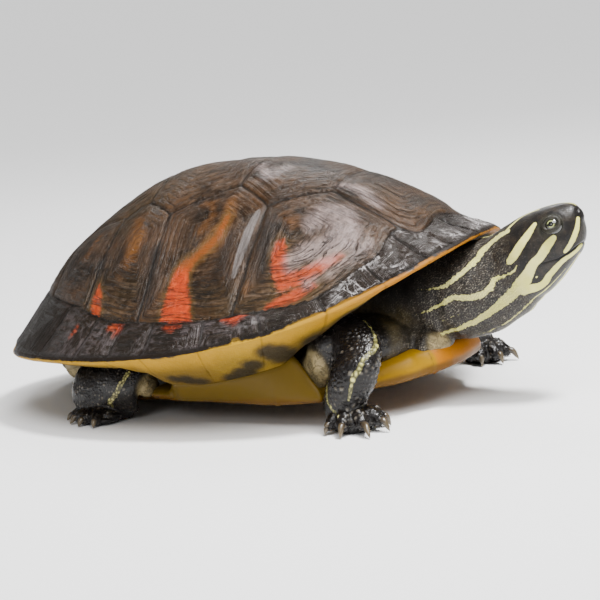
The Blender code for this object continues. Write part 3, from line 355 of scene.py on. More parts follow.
def smooth_rows(rows, position):
    """Rows of numbers read along a smooth curve through them."""
    rows = np.array(rows, float)
    place = np.clip(np.asarray(position, float), 0, len(rows) - 1)
    index = np.minimum(place.astype(int), len(rows) - 2)
    share = (place - index).reshape((-1,) + (1,) * (rows.ndim - 1))
    before = rows[np.maximum(index - 1, 0)]
    start = rows[index]
    end = rows[index + 1]
    after = rows[np.minimum(index + 2, len(rows) - 1)]
    return 0.5 * (2 * start + (end - before) * share
                  + (2 * before - 5 * start + 4 * end - after) * share ** 2
                  + (3 * start - before - 3 * end + after) * share ** 3)


def bumps(points, size, seed=0):
    """Smooth noise from -1 to 1, with lumps of a given size."""
    place = points / size + seed * 17.31
    corner = np.floor(place)
    part = place - corner
    part = part * part * (3 - 2 * part)
    total = np.zeros(len(points))
    for step in np.ndindex(2, 2, 2):
        cell = corner + np.array(step)
        wave = np.sin(cell @ np.array([127.1, 311.7, 74.7]) + seed) * 43758.5453
        value = wave - np.floor(wave)
        weight = np.prod(np.where(np.array(step) == 1, part, 1 - part), axis=1)
        total += value * weight
    return total * 2 - 1


def stroke(points, path):
    """How far points lie inside a stroke, whose rows are a place and a half width."""
    path = np.array(path, float)
    best = np.full(len(points), -1e3)
    for start, end in zip(path, path[1:]):
        run = end[:-1] - start[:-1]
        length = max(float(run @ run), 1e-12)
        share = np.clip((points - start[:-1]) @ run / length, 0, 1)
        spot = start[:-1] + share[:, None] * run
        width = start[-1] + share * (end[-1] - start[-1])
        best = np.maximum(best, width - np.linalg.norm(points - spot, axis=1))
    return best


def unit(vectors):
    """Vectors of length one."""
    vectors = np.asarray(vectors, float)
    return vectors / np.maximum(np.linalg.norm(vectors, axis=-1, keepdims=True), 1e-12)


def grid_faces(rows, columns):
    """Faces of a grid of vertices, closed round its columns."""
    row = np.arange(rows - 1)[:, None] * columns
    column = np.arange(columns)[None, :]
    low = row + column
    low_after = row + (column + 1) % columns
    faces = np.stack([low, low_after, low_after + columns, low + columns], axis=-1)
    return faces.reshape(-1, 4)


def capped_faces(rows, columns):
    """Faces of a closed grid with a cap at each end."""
    faces = grid_faces(rows, columns).tolist()
    faces.append(list(range(columns))[::-1])
    faces.append(list(range((rows - 1) * columns, rows * columns)))
    return faces


def grid_normals(rows):
    """Normals of a surface given as rows of places."""
    along = np.roll(rows, -1, axis=1) - np.roll(rows, 1, axis=1)
    return unit(np.cross(along, np.gradient(rows, axis=0)))


def raw_mesh(name, places, faces):
    """A mesh from arrays of vertices and faces."""
    data = bpy.data.meshes.new(name)
    data.from_pydata(np.asarray(places).tolist(), [], [list(map(int, face)) for face in faces])
    return data


def linked(name, data):
    """An object that shows a mesh, lamp or camera."""
    thing = bpy.data.objects.new(name, data)
    bpy.context.scene.collection.objects.link(thing)
    return thing


def mesh_object(name, places, faces, smooth=True, weld=True):
    """An object from vertices and faces, with its faces turned outward."""
    data = raw_mesh(name, places, faces)
    mesh = bmesh.new()
    mesh.from_mesh(data)
    if weld:
        bmesh.ops.remove_doubles(mesh, verts=mesh.verts, dist=1e-7)
    bmesh.ops.recalc_face_normals(mesh, faces=mesh.faces)
    mesh.to_mesh(data)
    mesh.free()
    if smooth:
        data.shade_smooth()
    return linked(name, data)


def circle(count):
    """Angles of a full turn in equal steps."""
    return np.linspace(0, 2 * math.pi, count, endpoint=False)


def tube(rings):
    """Vertices and faces of a closed tube through rings."""
    rings = np.asarray(rings, float)
    count, around, _ = rings.shape
    places = np.concatenate([rings.reshape(-1, 3), rings[:1].mean(axis=1), rings[-1:].mean(axis=1)])
    faces = grid_faces(count, around).tolist()
    first = count * around
    for index in range(around):
        after = (index + 1) % around
        faces.append([after, index, first])
        faces.append([first - around + index, first - around + after, first + 1])
    return places, faces


def ovals(spots, across, above, wide, high, count, scale=1.0):
    """Oval rings round a line of places."""
    turns = circle(count)[None, :, None]
    wide, high = (np.reshape(size, (-1, 1, 1)) for size in (wide, high))
    return (spots[:, None, :] + across[:, None, :] * (np.cos(turns) * wide * scale)
            + above[:, None, :] * (np.sin(turns) * high * scale))


def ball(centre, radii, turn=0.0, around=28, rows=16):
    """Vertices and faces of a closed rounded pad."""
    lean = np.linspace(0.04, math.pi - 0.04, rows)[:, None]
    turns = circle(around)[None, :]
    x = np.sin(lean) * np.cos(turns) * radii[0]
    y = np.sin(lean) * np.sin(turns) * radii[1]
    z = np.cos(lean) * np.ones_like(turns) * radii[2]
    east = x * math.cos(turn) - y * math.sin(turn)
    north = x * math.sin(turn) + y * math.cos(turn)
    return tube(np.stack([east, north, z], axis=-1) + np.asarray(centre, float))


def join_pieces(pieces):
    """One list of vertices and faces from several."""
    places = []
    faces = []
    start = 0
    for spots, parts in pieces:
        places.append(np.asarray(spots, float))
        faces += [[start + corner for corner in part] for part in parts]
        start += len(spots)
    return np.concatenate(places), faces


def read_vectors(items, name):
    """A place or direction of each vertex of a mesh."""
    values = np.empty(len(items) * 3, np.float32)
    items.foreach_get(name, values)
    return values.reshape(-1, 3).astype(float)


def set_places(data, places):
    """Move a mesh's vertices."""
    data.vertices.foreach_set("co", np.ascontiguousarray(places, np.float32).ravel())
    data.update()


def above_floor(places):
    """Places with none below the floor."""
    return np.maximum(places, (-np.inf, -np.inf, 0.0))


def set_values(data, values):
    """Keep a number, or three, for each vertex under each of several names."""
    for name, numbers in values.items():
        numbers = np.ascontiguousarray(numbers, np.float32)
        kind, field = ("FLOAT", "value") if numbers.ndim == 1 else ("FLOAT_VECTOR", "vector")
        layer = data.attributes.new(name, kind, "POINT")
        layer.data.foreach_set(field, numbers.ravel())


def search_tree(places):
    """Search tree of places."""
    tree = KDTree(len(places))
    for index, place in enumerate(places):
        tree.insert(place, index)
    tree.balance()
    return tree


def thread(points, paths, step):
    """As stroke, for many fine paths at once."""
    samples = np.concatenate([dense_path(path, step) for path in paths])
    tree = search_tree(samples[:, :3])
    found = map(tree.find, points)
    return np.array([samples[index, 3] - distance for _, index, distance in found])


def nearest_distance(points, samples):
    """Distance from each point to the nearest of the samples."""
    tree = search_tree(samples)
    return np.array([tree.find(point)[2] for point in points])


def dense_path(path, step):
    """Places along a path at short steps."""
    path = np.asarray(path, float)
    places = []
    for start, end in zip(path, path[1:]):
        count = max(1, int(np.linalg.norm(end - start) / step))
        share = np.arange(count)[:, None] / count
        places.append(start + (end - start) * share)
    places.append(path[-1:])
    return np.concatenate(places)


# The form of the shell

def rim_plan(angle):
    """Rim of the carapace seen from above."""
    cosine = np.cos(np.radians(angle))
    sine = np.sin(np.radians(angle))
    power_x = np.where(cosine > 0, FRONT_POWERS[0], REAR_POWERS[0])
    power_y = np.where(cosine > 0, FRONT_POWERS[1], REAR_POWERS[1])
    x = 0.5 * signed_power(cosine, power_x)
    y = HALF_WIDTH * signed_power(sine, power_y) * (1 - REAR_SPREAD * cosine)
    return x, y


def groove(distance, width):
    """1 on a line, falling smoothly to 0 beside it."""
    return np.exp(-(distance / width) ** 2)


def series(parts, cosine):
    """A number that changes with the powers of a cosine."""
    return sum(part * cosine ** power for power, part in enumerate(parts))


def rim_height(angle):
    """Height of the rim above the belly."""
    return series(RIM_HEIGHTS, np.cos(np.radians(angle)))


def dome_height(share, angle):
    """Height of the dome at a share of the way to the rim."""
    cosine = np.cos(np.radians(angle))
    fall = (1 - np.minimum(share, 1.0) ** series(DOME_POWERS, cosine)) ** series(FLARE_POWERS, cosine)
    rim = rim_height(angle)
    return rim + (DOME_HEIGHT - rim) * fall


def on_floor(points):
    """Turn places in shell lengths into metres on the floor."""
    points = np.asarray(points, float)
    sine = math.sin(SHELL_PITCH)
    cosine = math.cos(SHELL_PITCH)
    forward = points[..., 0] * cosine - points[..., 2] * sine
    upward = points[..., 0] * sine + points[..., 2] * cosine
    placed = np.stack([forward, points[..., 1], upward], axis=-1) * SHELL_LENGTH
    return placed + MIDDLE + UP * BELLY_LIFT


def dome_places(share, angle):
    """Places on the dome by share and rim angle, in shell lengths."""
    x, y = rim_plan(angle)
    return np.stack([x * share, y * share, dome_height(share, angle)], axis=-1)


def radial(angle, radius, height):
    """Places at a distance from the middle, by rim angle."""
    x, y = rim_plan(angle)
    scale = radius / np.hypot(x, y)
    return np.stack([x * scale, y * scale, height + 0 * x], axis=-1)


def share_and_angle(x, y):
    """The share and the rim angle of places seen from above."""
    polar = np.arctan2(np.abs(y), x)
    low = np.zeros_like(polar)
    high = np.full_like(polar, 180.0)
    for _ in range(30):
        middle = (low + high) / 2
        rim_x, rim_y = rim_plan(middle)
        less = np.arctan2(rim_y, rim_x) < polar
        low = np.where(less, middle, low)
        high = np.where(less, high, middle)
    return np.hypot(x, y) / np.hypot(*rim_plan(low)), np.where(y < 0, -low, low)


def inner_seam(angle):
    """Share of the way out at which the seam inside the rim runs."""
    return ease_table(INNER_SEAM, np.abs(angle))


def bridge_share(angle):
    """1 where the belly joins the rim, 0 at the openings."""
    turn = np.abs(angle)
    return ease(turn, BRIDGE[0], BRIDGE[1]) * (1 - ease(turn, BRIDGE[2], BRIDGE[3]))


def lip_size(angle):
    """How far the rim's underside reaches in and drops."""
    return ease_table(LIP, np.abs(angle), 1), ease_table(LIP, np.abs(angle), 2)


def lip_rows(angle):
    """Key rows from just inside the rim's edge round to the end of its underside."""
    radius = np.hypot(*rim_plan(angle))
    height = rim_height(angle)
    width, drop = lip_size(angle)
    low = height - EDGE_HEIGHT
    return np.array([
        dome_places(0.975, angle), dome_places(0.99, angle),
        radial(angle, radius, height - EDGE_ROUNDING),
        radial(angle, radius - EDGE_ROUNDING, low),
        radial(angle, radius - width * 0.46, low - drop * 0.52),
        radial(angle, radius - width, low - drop),
        radial(angle, radius - width - STEP_IN, low - drop + STEP_UP)])


def lining_rows(angle):
    """Rows of the shell's inside, from the lip to high in the dome."""
    radius = np.hypot(*rim_plan(angle))
    height = rim_height(angle)
    width, drop = lip_size(angle)
    joined = bridge_share(angle)
    free_top = dome_height(1 - (width + 0.012) / radius, angle) - WALL * 1.3
    corner_top = joined * (height - 0.004) + (1 - joined) * free_top
    corner_in = joined * CORNER_IN + (1 - joined) * (width + CORNER_BESIDE)
    rows = [radial(angle, radius - width - STEP_IN, height - EDGE_HEIGHT - drop + STEP_UP)]
    rows.append(radial(angle, radius - corner_in, corner_top))
    for share in (0.74, 0.54, 0.28, 0.02):
        rows.append(dome_places(share, angle) - (0, 0, WALL))
    return np.array(rows)


def inner_seam_place(angle):
    """Plan place of the seam inside the rim."""
    return np.stack(rim_plan(angle), axis=-1) * inner_seam(angle)[..., None]


def scutes():
    """Plan outline and areola of each middle and side scute."""
    first, second, third, fourth, fifth, sixth, seventh = CORNERS
    ends = [tuple(inner_seam_place(np.array(float(turn)))) for turn in SIDE_SEAM_ENDS]
    paths = ([ends[0], first, second, ends[1]], [ends[1], second, third, fourth, ends[2]],
             [ends[2], fourth, fifth, sixth, ends[3]], [ends[3], sixth, seventh, ends[4]])
    plates = []
    for index, path in enumerate(paths):
        turns = np.linspace(SIDE_SEAM_ENDS[index + 1], SIDE_SEAM_ENDS[index], 24)
        outline = np.concatenate([np.array(path[:-1]), inner_seam_place(turns)])
        areola = np.array(SIDE_AREOLAS[index])
        for side in (1, -1):
            plates.append((outline * (1, side), areola * (1, side)))
    crosses = [(x, 0.0) for x in CROSS_SEAMS]
    front, rear = SIDE_SEAM_ENDS[0], SIDE_SEAM_ENDS[-1]
    ahead = inner_seam_place(np.linspace(front, 0, 12))
    behind = inner_seam_place(np.linspace(180, rear, 16))
    halves = [[crosses[0], first] + ahead.tolist(),
              [crosses[1], third, second, first, crosses[0]],
              [crosses[2], fifth, fourth, third, crosses[1]],
              [crosses[3], seventh, sixth, fifth, crosses[2]],
              behind.tolist() + [seventh, crosses[3]]]
    for half, areola in zip(halves, MIDDLE_AREOLAS):
        left = np.array(half)
        outline = np.concatenate([left, (left * (1, -1))[::-1]])
        plates.append((outline, np.array([areola, 0.0])))
    return plates


def star_share(x, y, outline, centre):
    """Share of the way from a scute's areola to its outline."""
    edge = dense_path(np.concatenate([outline, outline[:1]]), 0.004) - centre
    turn = np.arctan2(edge[:, 1], edge[:, 0])
    reach = np.hypot(edge[:, 0], edge[:, 1])
    order = np.argsort(turn)
    here = np.arctan2(y - centre[1], x - centre[0])
    limit = np.interp(here, turn[order], reach[order], period=2 * math.pi)
    return np.hypot(x - centre[0], y - centre[1]) / limit


def seam_samples():
    """Close places on every seam of the carapace, in metres on the floor."""
    samples = []
    for outline, _ in scutes():
        path = dense_path(np.concatenate([outline, outline[:1]]), 0.002)
        share, angle = share_and_angle(path[:, 0], path[:, 1])
        samples.append(on_floor(dome_places(share, angle)))
    for turn in RIM_SEAMS:
        for side in (1, -1) if turn < 180 else (1,):
            angle = np.array([float(turn * side)])
            shares = np.linspace(float(inner_seam(angle)[0]), 0.975, 60)
            top = dome_places(shares, np.full(60, angle[0]))
            under = lip_rows(angle)[:, 0, :]
            samples.append(dense_path(on_floor(np.concatenate([top, under])), 0.5 * MM))
    return np.concatenate(samples)


# Materials

class Value:
    """One output of a material's nodes; Python's operators add Math nodes to it."""

    def __init__(self, finish, socket):
        self.finish = finish
        self.socket = socket

    def maths(self, operation, first, second):
        """A Math node on two values."""
        return self.finish.value("ShaderNodeMath", 0, {"operation": operation}, {0: first, 1: second})

    def __add__(self, other):
        return self.maths("ADD", self, other)

    def __radd__(self, other):
        return self.maths("ADD", other, self)

    def __sub__(self, other):
        return self.maths("SUBTRACT", self, other)

    def __rsub__(self, other):
        return self.maths("SUBTRACT", other, self)

    def __mul__(self, other):
        return self.maths("MULTIPLY", self, other)

    def __rmul__(self, other):
        return self.maths("MULTIPLY", other, self)

    def __pow__(self, other):
        return self.maths("POWER", self, other)

    def larger(self, other):
        """The larger of two values."""
        return self.maths("MAXIMUM", self, other)

    def between(self, low, high, start=0.0, end=1.0):
        """Start below low, end above high, smooth between."""
        return self.finish.value(
            "ShaderNodeMapRange", "Result", {"interpolation_type": "SMOOTHSTEP"},
            {"Value": self, "From Min": low, "From Max": high, "To Min": start, "To Max": end})

    def below(self, low, high):
        """1 below low, 0 above high, smooth between."""
        return self.between(low, high, 1.0, 0.0)

    def ragged(self, noise, size):
        """The value with a noise added, for ragged edges."""
        return self + (noise - 0.5) * size

    def veins(self, low, high):
        """Thin winding lines where a noise crosses a half."""
        level = self - 0.5
        return level.larger(0.0 - level).below(low, high)


class Finish:
    """A material that is put together node by node."""

    def __init__(self, name, roughness=0.5, specular=0.5, coat=0.0, coat_roughness=0.1):
        self.material = bpy.data.materials.new(name)
        self.material.use_nodes = True
        self.tree = self.material.node_tree
        self.surface = self.tree.nodes["Principled BSDF"]
        self.show(Roughness=roughness, Specular_IOR_Level=specular,
                  Coat_Weight=coat, Coat_Roughness=coat_roughness)

    def node(self, kind, settings=None, inputs=None):
        """A node with its settings and inputs."""
        node = self.tree.nodes.new(kind)
        for name, value in (settings or {}).items():
            setattr(node, name, value)
        for name, value in (inputs or {}).items():
            self.feed(node.inputs[name], value)
        return node

    def feed(self, target, value):
        """Link a value to a socket, or set a number or colour."""
        if isinstance(value, Value):
            self.tree.links.new(value.socket, target)
        elif target.type == "RGBA":
            target.default_value = (*tuple(value)[:3], 1.0)
        else:
            target.default_value = value

    def value(self, kind, output, settings=None, inputs=None):
        """An output of a new node."""
        return Value(self, self.node(kind, settings, inputs).outputs[output])

    def place(self):
        """Place on the object, in metres."""
        return self.value("ShaderNodeTexCoord", "Object")

    def kept(self, name, output="Fac"):
        """A number or vector that the mesh keeps."""
        return self.value("ShaderNodeAttribute", output, {"attribute_name": name})

    def noise(self, scale, detail=3.0, rough=0.55, place=None, twist=0.0):
        """Cloudy noise from 0 to 1."""
        inputs = {"Vector": place or self.place(), "Scale": scale, "Detail": detail,
                  "Roughness": rough, "Distortion": twist}
        return self.value("ShaderNodeTexNoise", "Fac", None, inputs)

    def cells(self, scale):
        """Distance to the middle of the nearest cell."""
        inputs = {"Vector": self.place(), "Scale": scale}
        return self.value("ShaderNodeTexVoronoi", "Distance", None, inputs)

    def stretch(self, place, scale):
        """A place scaled along each axis."""
        return self.value("ShaderNodeVectorMath", 0, {"operation": "MULTIPLY"}, {0: place, 1: scale})

    def mix(self, factor, first, second):
        """One colour laid over another."""
        return self.value("ShaderNodeMix", 2, {"data_type": "RGBA"}, {0: factor, 6: first, 7: second})

    def coats(self, colour, *layers):
        """Colours laid over the first by their shares."""
        for share, paint in layers:
            colour = self.mix(share, colour, paint)
        return colour

    def relief(self, height, distance, strength=1.0, normal=None):
        """Fine relief of the surface."""
        inputs = {"Height": height, "Distance": distance, "Strength": strength}
        if normal:
            inputs["Normal"] = normal
        return self.value("ShaderNodeBump", "Normal", None, inputs)

    def show(self, **inputs):
        """Feed the shader's own sockets."""
        for name, value in inputs.items():
            self.feed(self.surface.inputs[name.replace("_", " ")], value)
        return self.material


def horn_textures(horn):
    """Give the horn its noises and the marks that its mesh keeps."""
    horn.clouds = horn.noise(34.0, 5.0, 0.66)
    horn.broad = horn.noise(13.0, 3.0, 0.55)
    horn.specks = horn.noise(360.0, 4.0, 0.72)
    for name in ("seam", "front", "rim", "slate", "ridge"):
        setattr(horn, name, horn.kept(name))
    grain = horn.kept("grain", "Vector")
    horn.streaks = horn.noise(1.0, 5.0, 0.65, horn.stretch(grain, (5.0, 5.0, 1.0)), 1.1)
    horn.hairs = horn.noise(1.0, 5.0, 0.7, horn.stretch(grain, (16.0, 9.0, 1.0)), 0.9)
    horn.grit = horn.hairs * 0.6 + horn.specks * 0.6
    creases = horn.noise(1.0, 4.0, 0.6, horn.stretch(grain, (3.2, 3.0, 1.0)), 1.6)
    horn.cracks = creases.veins(0.006, 0.034) * horn.broad.between(0.36, 0.5)
    crinkle = horn.noise(85.0, 4.0, 0.6, None, 1.8).veins(0.0, 0.055) * horn.clouds.between(0.5, 0.64)
    # painted glints: white highlights painted on the crinkled front rim
    glints = horn.hairs.between(0.57, 0.63) * horn.specks.between(0.44, 0.56)
    horn.flakes = crinkle.larger(glints) * horn.rim * horn.front
    horn.dark = horn.kept("dark").ragged(horn.clouds, 14.0).between(-3.0, 5.0)
    # painted sheen: where a silvery reflection is painted on the horn
    horn.sheen = horn.kept("sheen").ragged(horn.clouds, 14.0).ragged(horn.streaks, 6.0).between(-3.0, 4.0)
    horn.rings = horn.ridge.between(0.02, 0.12) * horn.ridge.below(0.14, 0.28)
    horn.rings = horn.rings * horn.clouds.between(0.46, 0.6)
    horn.groove = horn.seam.ragged(horn.specks, 0.5).below(0.25, 1.1)


def bar_paint(horn, look):
    """Share of the bars' golden edges, share of the bars, and their colour."""
    bars = horn.kept("red").ragged(horn.specks, 3.2).ragged(horn.streaks, 3.6).ragged(horn.clouds, 3.4)
    edge = bars.between(-4.2, -0.6) * (1.0 - horn.rim) * 0.42
    fade = horn.kept("fade").ragged(horn.clouds, 0.5).ragged(horn.specks, 0.3)
    tone = horn.coats(
        look.bar_red,
        (horn.specks.between(0.4, 0.72), look.bar_pale),
        (fade.between(0.1, 0.8), look.bar_brown))
    red = bars.between(-1.4, 1.8) * (1.0 - horn.rim * 0.2) * (1.0 - fade.between(0.3, 1.2) * 0.35)
    red = red * (1.0 - horn.front * 0.35) * (1.0 - horn.grit.below(0.48, 0.6) * 0.45)
    return edge, red * (1.0 - horn.cracks * 0.5), tone


def horn_paint(horn, look):
    """Colour of the top of the carapace."""
    hairlines = (horn.streaks * 0.5 + horn.hairs * 0.5 + horn.specks * 0.5).between(0.7, 0.92)
    mottle = (horn.specks + (horn.clouds - 0.5)).between(0.46, 0.66) * horn.rim * horn.slate
    warm = horn.kept("warm").ragged(horn.clouds, 15.0).ragged(horn.streaks, 10.0).between(-3.0, 5.0)
    wear = horn.ridge.ragged(horn.specks, 1.6).between(0.5, 1.1) * horn.streaks.between(0.46, 0.66)
    wear = wear * horn.seam.between(1.6, 3.2) * (1.0 - horn.rim * 0.7)
    pale = horn.kept("pale").ragged(horn.specks, 1.4).between(-0.5, 0.5)
    # share of the painted silvery reflection
    painted_silver = horn.sheen * (0.44 + (horn.clouds - 0.5) * 1.2 + (horn.specks - 0.5) * 0.9)
    edge, red, tone = bar_paint(horn, look)
    return horn.coats(
        look.horn_dark,
        (horn.clouds.between(0.36, 0.66), look.horn_brown),
        (horn.broad.between(0.44, 0.62) * 0.35, look.horn_olive),
        (hairlines * 0.34, look.horn_grey),
        (horn.grit.below(0.5, 0.62) * 0.45, look.horn_dark),
        (horn.rim * 0.82, look.horn_dark),
        # painted shade: the rear of the carapace is darker, as it lies away from the light
        ((1.0 - horn.slate) * (0.45 + horn.rim * 0.4), look.horn_dark),
        (mottle * (0.8 - horn.front * 0.62), look.rim_slate),
        (horn.dark * 0.75, look.horn_dark),
        (warm * 0.55, look.warm_brown),
        (edge, look.bar_edge),
        (red, tone),
        (painted_silver, look.painted_sheen_grey),
        (horn.rings * (1.0 - horn.rim) * 0.6, look.seam_dark),
        # worn ridge crests, made paler on the front as a painted sheen where the light falls
        (wear * (0.18 + horn.front * 0.2), look.wear_and_sheen_grey),
        (pale * (0.45 + horn.hairs.between(0.35, 0.65) * 0.5), look.wear_pale),
        (horn.flakes * 0.85, look.painted_glint_white),
        (horn.cracks * (0.55 + horn.sheen * 0.35), look.seam_dark),
        (horn.groove * (0.92 - horn.rim * 0.3), look.seam_dark))


def underside_paint(horn, look):
    """Colour of the rim's underside, with painted shade inside the shell, and how far it is hidden in the
    shell.
    """
    inward = horn.kept("inward")
    sideways = horn.kept("sideways")
    # painted shade: the shell's inside, hidden under the rim, is painted dark
    hidden = inward.between(0.55, 0.95) * (1.0 - sideways)
    smudge = horn.kept("smudge").ragged(horn.clouds, 8.0).ragged(horn.specks, 2.0).between(-3.6, 2.2)
    colour = horn.coats(
        look.rim_orange,
        (sideways, look.rim_yellow),
        (inward.ragged(horn.clouds, 0.9).between(0.1, 1.0) * 0.9, look.rim_olive),
        (horn.broad.between(0.45, 0.65) * 0.3, look.rim_pale),
        (hidden, look.smudge_and_shade_dark),
        # smudges, one of them painted shade beside the foreleg
        (smudge * 0.95, look.smudge_and_shade_dark),
        (horn.groove * 0.35, look.smudge_and_shade_dark))
    return colour, hidden


def horn_finish(look):
    """Dark horn with red bars, pale wear, a painted sheen, painted glints and painted shade, and a yellow
    underside.
    """
    horn = Finish("shell_horn", specular=0.22, coat_roughness=0.14)
    horn_textures(horn)
    yellow, hidden = underside_paint(horn, look)
    under = horn.kept("under").ragged(horn.clouds, 3.2).ragged(horn.broad, 9.0).ragged(horn.specks, 1.0)
    under = under.between(-0.3, 0.3)
    colour = horn.mix(under, horn_paint(horn, look), yellow)
    rough = 0.33 + (horn.clouds - 0.5) * 0.34 + horn.groove * 0.25 + horn.dark * 0.06 - horn.sheen * 0.06
    rough = rough + under * 0.1 + hidden * 0.5 + (1.0 - horn.slate) * 0.18
    shine = (1.0 - under) * (0.05 + horn.rim * 0.05) * horn.clouds.between(0.42, 0.62)
    height = horn.streaks * 0.36 + horn.hairs * 0.28 - horn.cracks * 0.6 - horn.rings * 0.15
    height = height + horn.specks * 0.5 + horn.flakes * 0.5
    relief = horn.relief(height, 1.1 * MM, 0.9)
    relief = horn.relief(horn.noise(520.0, 4.0, 0.7), 0.14 * MM, 0.7, relief)
    return horn.show(Base_Color=colour, Roughness=rough, Coat_Weight=shine, Normal=relief)


def belly_finish(look):
    """Smooth orange-yellow horn with brown seams and smudges."""
    horn = Finish("belly_horn", specular=0.14)
    clouds = horn.noise(26.0, 4.0, 0.6)
    broad = horn.noise(11.0, 3.0, 0.5)
    specks = horn.noise(190.0, 4.0, 0.65)
    side = horn.kept("sideways").ragged(clouds, 0.5).between(0.15, 0.75)
    low = horn.kept("low").ragged(clouds, 0.8).between(0.1, 0.9)
    smudge = horn.kept("smudge").ragged(clouds, 10.0).ragged(specks, 3.0).between(-3.0, 5.0)
    seam = horn.kept("seam").ragged(specks, 0.4).below(0.15, 0.8)
    colour = horn.coats(
        look.belly_yellow,
        (broad.between(0.42, 0.62) * 0.6, look.rim_yellow),
        (horn.kept("front"), look.belly_orange),
        (side, look.belly_olive),
        (low * 0.85, look.belly_amber),
        (specks.between(0.52, 0.8) * 0.3, look.belly_brown),
        (smudge * 0.6, look.belly_brown),
        (seam * 0.75, look.belly_brown))
    rough = 0.42 + (clouds - 0.5) * 0.25
    relief = horn.relief(specks * 0.5 + clouds * 0.8, 0.5 * MM, 0.6)
    relief = horn.relief(horn.noise(480.0, 3.0, 0.7), 0.1 * MM, 0.6, relief)
    return horn.show(Base_Color=colour, Roughness=rough, Normal=relief)


def fold_paint(skin, look):
    """Colour of the soft skin between the shells, and its fine wrinkles."""
    lines = skin.noise(150.0, 3.0, 0.6, None, 1.5).veins(0.0, 0.05) * skin.soft
    pallor = skin.kept("pallor").ragged(skin.clouds, 0.9).between(0.1, 0.9)
    colour = skin.coats(
        look.fold_dark,
        (skin.clouds.between(0.34, 0.66), look.fold_olive),
        (pallor * (0.6 + skin.blotches.between(0.4, 0.6) * 0.4), look.fold_pale),
        (lines * 0.5, look.fold_dark))
    return colour, lines


def stripe_paint(skin, look, gap):
    """Share of the stripes, and their colour."""
    stripe = skin.kept("stripe").ragged(skin.specks, 0.45).ragged(skin.blotches, 0.8)
    stripe = (stripe + (skin.tint - 0.5) * (1.0 - skin.head) * 0.9).between(-0.22, 0.22)
    stripe = stripe * (1.0 - gap * (0.35 + skin.leg * 0.55))
    tone = skin.coats(
        look.stripe_yellow,
        (skin.clouds.between(0.36, 0.64), look.stripe_pale),
        (skin.kept("dull") * (0.55 + (skin.blotches - 0.5)), look.stripe_shade))
    return stripe, tone


def skin_finish(look):
    """Dark granular skin with pale yellow stripes."""
    skin = Finish("skin", specular=0.26, coat_roughness=0.12)
    skin.clouds = skin.noise(75.0, 4.0, 0.62)
    skin.blotches = skin.noise(190.0, 3.0, 0.6)
    skin.specks = skin.noise(900.0, 3.0, 0.7)
    for name in ("tint", "head", "leg", "soft", "deep"):
        setattr(skin, name, skin.kept(name))
    grains = skin.cells(1150.0)
    plateau = skin.kept("edge").between(0.02, 0.3)
    gap = (1.0 - plateau) * (1.0 - skin.head) * (1.0 - skin.soft * 0.85)
    granule = grains.ragged(skin.specks, 0.6).ragged(skin.blotches, 0.8).below(0.3, 0.62)
    granule = granule * (1.0 - skin.head) * (1.0 - skin.leg) * (1.0 - skin.soft)
    pale_grain = skin.tint.ragged(skin.specks, 0.7).ragged(skin.clouds, 0.8).between(0.46, 0.9) * plateau
    pale_grain = pale_grain * (1.0 - skin.head * 0.9) * (1.0 - skin.leg * 0.4) * (1.0 - skin.soft * 0.7)
    fold, lines = fold_paint(skin, look)
    stripe, tone = stripe_paint(skin, look, gap)
    lids = skin.kept("lids").ragged(skin.specks, 0.5).between(0.1, 0.8) * (1.0 - stripe)
    colour = skin.coats(
        look.skin_dark,
        (skin.blotches.between(0.4, 0.66), look.skin_grey),
        ((skin.leg * 0.8).larger(skin.head * 0.5), look.black_skin_and_shade),
        (granule * 0.22, look.skin_speck),
        (skin.soft, fold),
        (pale_grain * 0.55, look.skin_speck),
        (gap * 0.75, look.black_skin_and_shade),
        # painted shade: skin deep under the shell's rim is painted near black
        (skin.deep * 0.85, look.black_skin_and_shade),
        (stripe * (1.0 - skin.deep * 0.75), tone),
        # painted contact shade: skin darkened where it meets the floor
        (skin.kept("sole") * 0.9, look.black_skin_and_shade),
        (lids * 0.22, look.lid_grey),
        # painted shade in the mouth line and nostril pits
        (skin.kept("crease").between(0.1, 0.9) * 0.9, look.black_skin_and_shade))
    rough = 0.42 + (skin.clouds - 0.5) * 0.25 + stripe * 0.08 + skin.soft * 0.12
    rough = rough - skin.leg * 0.14 - skin.head * 0.06
    shine = (skin.leg * 0.14 + skin.head * 0.04) * skin.clouds.between(0.4, 0.62)
    height = grains * (1.0 - skin.head * 0.6) * (1.0 - skin.soft * 0.7) - lines * 2.0
    relief = skin.relief(height, 0.16 * MM, 0.9)
    relief = skin.relief(skin.blotches * 0.5 + skin.specks * 0.4, 0.24 * MM, 0.8, relief)
    return skin.show(Base_Color=colour, Roughness=rough, Coat_Weight=shine, Normal=relief)


def eye_finish(look):
    """Pale ringed eye with a round pupil crossed by a dark bar."""
    eye = Finish("eye_glass", roughness=0.1, specular=0.55, coat=0.7, coat_roughness=0.03)
    place = eye.kept("eye_place", "Vector")
    axes = eye.node("ShaderNodeSeparateXYZ", None, {0: place})
    along = Value(eye, axes.outputs[0])
    across = Value(eye, axes.outputs[1])
    reach = (along * along + across * across) ** 0.5
    rays = eye.noise(1.0, 4.0, 0.7, eye.stretch(place, (2.6, 2.6, 0.4)))
    iris = eye.coats(
        look.eye_rim,
        (rays.between(0.38, 0.62), look.iris_green),
        (reach.below(1.6, 1.9) * rays.between(0.3, 0.5), look.iris_yellow),
        ((across * across).below(0.16, 0.8) * 0.95, look.eye_black),
        (reach.between(1.9, 2.5), look.eye_rim),
        (reach.below(1.25, 1.42), look.eye_black))
    return eye.show(Base_Color=iris)


